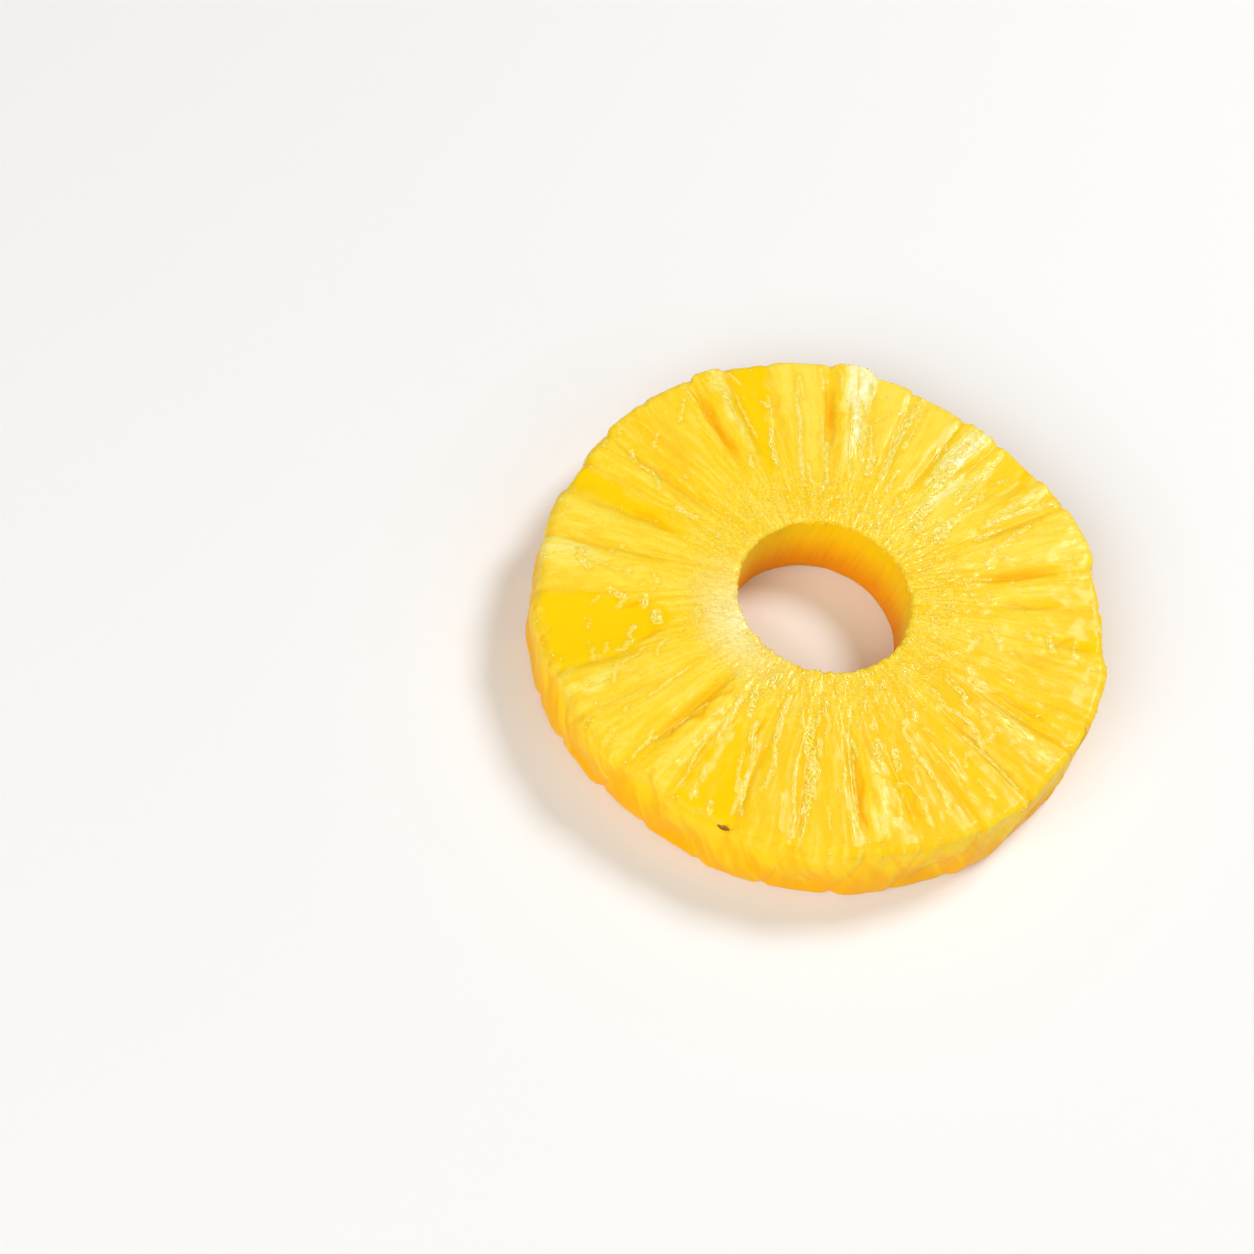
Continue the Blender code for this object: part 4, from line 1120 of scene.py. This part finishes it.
# A small closed pebble of unit size, the shape that is repeated
def pebble(name, sides, rows, roughness, seed):
    chance = np.random.default_rng(seed)
    points, faces = [(0.0, 0.0, -0.5)], []
    for row in range(1, rows):
        a = math.pi * row / rows
        for k in range(sides):
            b = 2.0 * math.pi * k / sides
            size = 0.5 * (1.0 + roughness * chance.uniform(-1.0, 1.0))
            out = size * math.sin(a)
            points.append((out * math.cos(b), out * math.sin(b), -size * math.cos(a)))
    points.append((0.0, 0.0, 0.5))
    top = 1 + (rows - 2) * sides
    for k in range(sides):
        n = (k + 1) % sides
        faces.append((0, 1 + n, 1 + k))
        for low in range(1, top, sides):
            faces.append((low + k, low + n, low + sides + n, low + sides + k))
        faces.append((top + k, top + n, len(points) - 1))
    return meshPiece(name, points, faces=faces)


# Pale moist fibre; its tops vary between body and bright, and its sides are painted a deeper orange as shade,
# the colour shaded translucent flesh takes
fibreFinish = {
    "body": (0.97, 0.76, 0.06, 1.0),
    "bright": (0.99, 0.89, 0.32, 1.0),
    # painted shade on the sides
    "side": (0.98, 0.62, 0.018, 1.0),
    "roughness": 0.20,
    "ior": 1.38,
    "gloss": 0.42,
}
# Its patterns, with sizes in millimetres, and how far upwards a top looks
fibreTones = {
    "tone": {"size": 0.8, "shift": 31.0},
    "grain": {"size": 0.18, "detail": 1.0, "shift": 33.0},
    "bright": (0.38, 0.66),
    "top": (0.35, 0.85),
    "roughShift": 0.10,
    "bump": 0.03,
}


def fibreMaterial(name, finish):
    material, w = newMaterial(name)
    places = w.make("ShaderNodeTexCoord").outputs
    tone = w.pattern(places["Object"], fibreTones["tone"])
    grain = w.pattern(places["Object"], fibreTones["grain"])
    base = w.blend(w.ramp(tone, *fibreTones["bright"]), finish["body"], finish["bright"])
    # painted shade: the less a face looks upwards, the more it takes the deeper side colour
    top = w.ramp(w.partsOf(places["Normal"])[2], *fibreTones["top"])
    base = w.blend(top, finish["side"], base)
    rough = w.add(finish["roughness"], w.swing(grain, fibreTones["roughShift"]))
    w.shade(base, rough, w.times(grain, fibreTones["bump"]), finish)
    return material


# Threads: how far apart their points are, how they wander, and how deep they lie
threadSizes = {
    "step": 0.22,
    "wander": 0.55,
    "wanderSize": 2.4,
    "kink": 0.16,
    "kinkSize": 0.5,
    "loopLength": 2.3,
    "rise": -0.04,
    "seed": 3,
}
# Their section: how they taper, how thick their ends stay, and how unevenly thick they are
threadShape = {"sides": 6, "taper": 0.5, "end": 0.25, "uneven": (0.3, 0.7, 0.6, 1.25), "apart": 4.0}


def threadTree(material, surface):
    tree, sizes, w, given = newTree("threads", threadSizes, material=material, surface=surface)
    curve = w.make("GeometryNodeMeshToCurve", {"Mesh": given["Geometry"]}).outputs[0]
    step = w.times(given["step"], mm)
    curve = w.make("GeometryNodeResampleCurve", {"Curve": curve, "Length": step}, mode="LENGTH").outputs[0]
    position = w.make("GeometryNodeInputPosition").outputs[0]
    tangent = w.make("GeometryNodeInputTangent").outputs[0]
    spline = w.make("GeometryNodeSplineParameter").outputs
    side, width, thick, phase = w.attributes("side width thick phase")
    phase = w.add(phase, given["seed"])
    across = w.vector("CROSS_PRODUCT", tangent, (0.0, 0.0, 1.0))

    # the two threads of a loop part and meet again, and all of them wander
    turn = w.math("DIVIDE", spline["Length"], w.times(given["loopLength"], mm / math.pi))
    parting = w.math("ABSOLUTE", w.math("SINE", w.add(turn, phase)))
    moved = w.offset(position, across, w.times(side, width, w.times(parting, 0.5)))
    for reach, size in (("wander", "wanderSize"), ("kink", "kinkSize")):
        shift = w.add(phase, w.times(side, threadShape["apart"]))
        drift = w.drift(position, w.perSize(given[size]), shift)
        moved = w.offset(moved, drift, w.times(given[reach], mm))
    curve, _ = w.drop(w.placed(curve, moved), w.geometryOf(given["surface"]), given["rise"])

    # a round section, thinner at the ends
    taper = w.math("POWER", w.math("SINE", w.times(spline["Factor"], math.pi)), threadShape["taper"])
    lumpy = w.ramp(w.spots(position, given["kinkSize"], shift=phase), *threadShape["uneven"])
    size = w.times(thick, 0.5, w.most(taper, threadShape["end"]), lumpy)
    circle = {"Resolution": threadShape["sides"], "Radius": 1.0}
    circle = w.make("GeometryNodeCurvePrimitiveCircle", circle).outputs[0]
    tube = {"Curve": curve, "Profile Curve": circle, "Scale": size, "Fill Caps": True}
    w.dress(w.make("GeometryNodeCurveToMesh", tube).outputs[0], given["material"])
    return tree, sizes


# The shape on every point, upright on the surface, its length and its turn left to chance
def strew(w, given, points, normal, tangent, wide, scale):
    turned = w.facing(normal, tangent, given["turn"], w.add(given["seed"], 2.0))
    long = w.random(given["shortest"], given["longest"], w.add(given["seed"], 3.0))
    size = w.vector("SCALE", w.combine(long, wide, given["height"]), scale=scale)
    strewn = {"Points": points, "Instance": w.geometryOf(given["shape"]), "Rotation": turned, "Scale": size}
    w.dress(w.make("GeometryNodeInstanceOnPoints", strewn).outputs[0], given["material"])


# Beads: how close they lie along their path and how large each is, in millimetres
beadSizes = {
    "step": 0.36,
    "crowd": 0.34,
    "longest": 0.72,
    "shortest": 0.32,
    "widest": 0.46,
    "narrowest": 0.24,
    "height": 0.26,
    "rise": -0.055,
    "turn": 1.1,
    "seed": 5,
}
# How far they stray aside and ahead, and how a path's width makes them grow
beadSpread = {"aside": 0.55, "ahead": 0.6, "width": (0.2, 1.0), "growth": (0.75, 1.25)}


def beadTree(material, surface, shape):
    tree, sizes, w, given = newTree("beads", beadSizes, material=material, surface=surface, shape=shape)
    curve = w.make("GeometryNodeMeshToCurve", {"Mesh": given["Geometry"]}).outputs[0]
    step = w.times(given["step"], mm)
    spread = w.make("GeometryNodeCurveToPoints", {"Curve": curve, "Length": step}, mode="LENGTH")
    width = w.attribute("width")
    count = w.math("CEIL", w.math("DIVIDE", width, w.times(given["crowd"], mm)))
    points = {"Geometry": spread.outputs[0], "Amount": count}
    points = w.make("GeometryNodeDuplicateElements", points, domain="POINT").outputs[0]
    position = w.make("GeometryNodeInputPosition").outputs[0]
    tangent = spread.outputs["Tangent"]
    across = w.vector("CROSS_PRODUCT", tangent, (0.0, 0.0, 1.0))
    aside = w.random(-beadSpread["aside"], beadSpread["aside"], given["seed"])
    ahead = w.random(-beadSpread["ahead"], beadSpread["ahead"], w.add(given["seed"], 1.0))
    moved = w.offset(position, across, w.times(width, aside))
    moved = w.offset(moved, tangent, w.times(given["step"], mm, ahead))
    points, normal = w.drop(w.placed(points, moved), w.geometryOf(given["surface"]), given["rise"])
    narrow, broad = beadSpread["width"]
    grown = w.ramp(width, narrow * mm, broad * mm, *beadSpread["growth"], smooth=False)
    wide = w.random(given["narrowest"], given["widest"], w.add(given["seed"], 4.0))
    strew(w, given, points, normal, tangent, wide, w.times(grown, mm))
    return tree, sizes


# Short cut fibres round the core, and crumbs along the rim: how many to a square millimetre,
# their length, width and height in millimetres
dashSizes = {
    "crowd": 1.1,
    "longest": 0.95,
    "shortest": 0.30,
    "width": 0.24,
    "height": 0.14,
    "turn": 0.65,
    "seed": 6,
}
crumbSizes = {
    "crowd": 0.55,
    "longest": 0.75,
    "shortest": 0.25,
    "width": 0.36,
    "height": 0.22,
    "turn": 3.1,
    "seed": 8,
}
# Their widths vary by these shares
scatterWidths = (0.6, 1.3)


def scatterTree(name, measures, material, surface, shape, density):
    tree, sizes, w, given = newTree(name, measures, material=material, surface=surface, shape=shape)
    position = w.make("GeometryNodeInputPosition").outputs[0]
    crowd = w.times(given["crowd"], density(w, position), 1.0 / (mm * mm))
    spread = {"Mesh": w.geometryOf(given["surface"]), 4: crowd, "Seed": given["seed"]}
    spread = w.make("GeometryNodeDistributePointsOnFaces", spread)
    tangent = w.vector("CROSS_PRODUCT", (0.0, 0.0, 1.0), position)
    wide = w.times(given["width"], w.random(*scatterWidths, w.add(given["seed"], 4.0)))
    strew(w, given, spread.outputs[0], spread.outputs["Normal"], tangent, wide, mm)
    return tree, sizes


# Dashes thin out from the core and gather in the pale clouds; crumbs gather in spots on the
# edge and just inside it, as radii and sizes in millimetres
scatterPlaces = {
    "core": (25.0, 16.5),
    "clouds": (0.56, 0.70),
    "cloudShare": 0.45,
    "spotSize": 2.2,
    "spots": (0.48, 0.62),
    "rim": (39.5, 41.5),
    "rimShare": 0.4,
}


def aroundCore(w, position):
    near = w.between(w.radiusOf(position), scatterPlaces["core"])
    clusters = w.ramp(w.attribute("clouds"), *scatterPlaces["clouds"])
    gathered = w.add(near, w.times(clusters, scatterPlaces["cloudShare"]))
    return w.times(gathered, w.attribute("face"))


def alongRim(w, position):
    face, edge = w.attributes("face edge")
    clusters = w.spots(position, scatterPlaces["spotSize"], shift=41.0)
    clusters = w.ramp(clusters, *scatterPlaces["spots"])
    near = w.between(w.radiusOf(position), scatterPlaces["rim"])
    return w.times(clusters, w.add(edge, w.times(near, face, scatterPlaces["rimShare"])))


fibreLook = fibreMaterial("pineappleFibre", fibreFinish)
bead = pebble("beadShape", 8, 4, 0.16, 1)
crumb = pebble("crumbShape", 6, 4, 0.30, 2)
# Loops are two threads of one thickness, with smaller beads along them
loopThread = 0.26
loopBeads = 0.6

threads = guideMesh("threads", paths["lines"])
loops = guideMesh("loops", paths["loops"], sides=(-1, 1), thread=loopThread)
for piece in (threads, loops):
    runTree(piece, *threadTree(fibreLook, flesh))
beadPaths = paths["beads"] + [(loopBeads * width, *stops) for width, *stops in paths["loops"]]
beads = runTree(guideMesh("beads", beadPaths), *beadTree(fibreLook, flesh, bead))
dashTree = scatterTree("dashes", dashSizes, fibreLook, flesh, crumb, aroundCore)
dashes = runTree(meshPiece("dashes"), *dashTree)
crumbTree = scatterTree("crumbs", crumbSizes, fibreLook, flesh, crumb, alongRim)
crumbs = runTree(meshPiece("crumbs"), *crumbTree)
for shape in (bead, crumb):
    bpy.data.objects.remove(shape)


# What is left of an eye in the rim: a thin brown lens let into the edge
eyeSizes = {
    "bearing": 268.0,
    "radius": 43.4,
    "height": 12.4,
    "length": 2.0,
    "width": 0.75,
    "thickness": 0.16,
    "columns": 14,
    "rows": 5,
}
eyeFinish = {
    "body": (0.24, 0.08, 0.001, 1.0),
    "bright": (0.50, 0.20, 0.003, 1.0),
    "side": (0.24, 0.08, 0.001, 1.0),
    "roughness": 0.38,
    "ior": 1.4,
    "gloss": 0.25,
}


def buildEye(name):
    s = eyeSizes
    a = math.radians(s["bearing"])
    aim = Vector((math.cos(a) * s["radius"], math.sin(a) * s["radius"], s["height"])) * mm
    _, spot, normal, _ = flesh.closest_point_on_mesh(aim)
    along = Vector((-math.sin(a), math.cos(a), 0.0))
    across = normal.cross(along).normalized()
    columns, rows = s["columns"], s["rows"]
    points, faces = [], []
    for side in (1.0, -1.0):
        base = len(points)
        for i in range(columns + 1):
            u = 2.0 * i / columns - 1.0
            for j in range(rows + 1):
                v = 2.0 * j / rows - 1.0
                half = 0.5 * s["width"] * (1.0 - u * u)
                thick = 0.5 * s["thickness"] * (1.0 - u * u) * (1.0 - v * v)
                offset = along * (0.5 * s["length"] * u) + across * (half * v) + normal * (side * thick)
                points.append(spot + offset * mm)
        for i in range(columns):
            for j in range(rows):
                k = base + i * (rows + 1) + j
                quad = (k, k + rows + 1, k + rows + 2, k + 1)
                faces.append(quad if side > 0.0 else quad[::-1])
    eye = meshPiece(name, points, faces=faces)
    shell = bmesh.new()
    shell.from_mesh(eye.data)
    bmesh.ops.remove_doubles(shell, verts=shell.verts, dist=0.001 * mm)
    bmesh.ops.recalc_face_normals(shell, faces=shell.faces)
    shell.to_mesh(eye.data)
    shell.free()
    eye.data.shade_smooth()
    eye.data.materials.append(fibreMaterial("eyeBrown", eyeFinish))
    return eye


eye = buildEye("eye")
pieces = [flesh, threads, loops, beads, dashes, crumbs, eye]
print("stage 3: fibres made,", {piece.name: len(piece.data.polygons) for piece in pieces})


# Camera where the photograph was taken from, the slice off centre and a little rolled as there
view = {
    "place": (0.0, -0.2127, 0.3179),
    "right": (0.93225, 0.33488, 0.137),
    "up": (-0.35510, 0.77416, 0.524),
    "lens": 71.8,
    "sensor": 36.0,
}


def makeCamera():
    right = Vector(view["right"]).normalized()
    up = Vector(view["up"])
    up = (up - right * up.dot(right)).normalized()
    turn = Matrix((right, up, right.cross(up))).transposed()
    data = bpy.data.cameras.new("camera")
    data.lens = view["lens"]
    data.sensor_width = view["sensor"]
    camera = addObject("camera", data)
    camera.matrix_world = Matrix.Translation(view["place"]) @ turn.to_4x4()
    bpy.context.scene.camera = camera


# Floor, room light and soft boxes: bearing and elevation of each lamp in degrees, distance
# and size in metres. The room looks pale but lights the slice only faintly, and shines
# in it a little more.
studio = {
    "floorRadius": 1.2,
    "floorSides": 96,
    "floorFades": (0.10, 0.50),
    "floorColour": (0.87, 0.89, 0.92, 1.0),
    "floorRoughness": 0.75,
    "roomSeen": (0.93, 0.92, 0.90, 1.0),
    "roomLight": (0.22, 0.18, 0.13, 1.0),
    "roomShine": (0.60, 0.52, 0.38, 1.0),
    "lamps": {
        "keyLamp": {"bearing": 60.0, "elevation": 52.0, "away": 0.9, "size": 0.30, "power": 4.4},
        "fillLamp": {"bearing": 248.0, "elevation": 38.0, "away": 1.1, "size": 0.9, "power": 8.5},
        "sideLamp": {"bearing": 330.0, "elevation": 34.0, "away": 1.1, "size": 0.9, "power": 2.0},
    },
}


def makeFloor():
    size, sides = studio["floorRadius"], studio["floorSides"]
    turns = [2.0 * math.pi * k / sides for k in range(sides)]
    points = [(math.cos(a) * size, math.sin(a) * size, 0.0) for a in turns]
    floor = meshPiece("floor", points, faces=[range(sides)])
    paper, w = newMaterial("paleFloor")
    feeds = {"Base Color": studio["floorColour"], "Roughness": studio["floorRoughness"]}
    shader = w.make("ShaderNodeBsdfPrincipled", feeds).outputs[0]
    position = w.make("ShaderNodeTexCoord").outputs["Object"]
    gone = w.ramp(w.radiusOf(position), *studio["floorFades"])
    nothing = w.make("ShaderNodeBsdfTransparent").outputs[0]
    mixed = w.make("ShaderNodeMixShader", {0: gone, 1: shader, 2: nothing})
    w.make("ShaderNodeOutputMaterial", {"Surface": mixed.outputs[0]})
    floor.data.materials.append(paper)
    return floor


def makeRoom():
    world = bpy.data.worlds.new("room")
    world.use_nodes = True
    world.node_tree.nodes.clear()
    w = Wiring(world.node_tree)
    rays = w.make("ShaderNodeLightPath").outputs
    glow = w.blend(rays["Is Glossy Ray"], studio["roomLight"], studio["roomShine"])
    glow = w.blend(rays["Is Camera Ray"], glow, studio["roomSeen"])
    room = w.make("ShaderNodeBackground", {"Color": glow, "Strength": 1.0})
    w.make("ShaderNodeOutputWorld", {"Surface": room.outputs[0]})
    bpy.context.scene.world = world


def makeLamps():
    for name, lamp in studio["lamps"].items():
        a, e = math.radians(lamp["bearing"]), math.radians(lamp["elevation"])
        way = Vector((math.cos(a) * math.cos(e), math.sin(a) * math.cos(e), math.sin(e)))
        data = bpy.data.lights.new(name, "AREA")
        data.shape = "DISK"
        data.size = lamp["size"]
        data.energy = lamp["power"]
        light = addObject(name, data)
        light.location = way * lamp["away"]
        light.rotation_mode = "QUATERNION"
        light.rotation_quaternion = way.to_track_quat("Z", "Y")


makeCamera()
floor = makeFloor()
makeRoom()
makeLamps()
bpy.context.scene.view_settings.view_transform = "Standard"
print("stage 4: camera and studio made")

for piece in pieces:
    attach(piece, "root")
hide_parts("pineapple_ring")
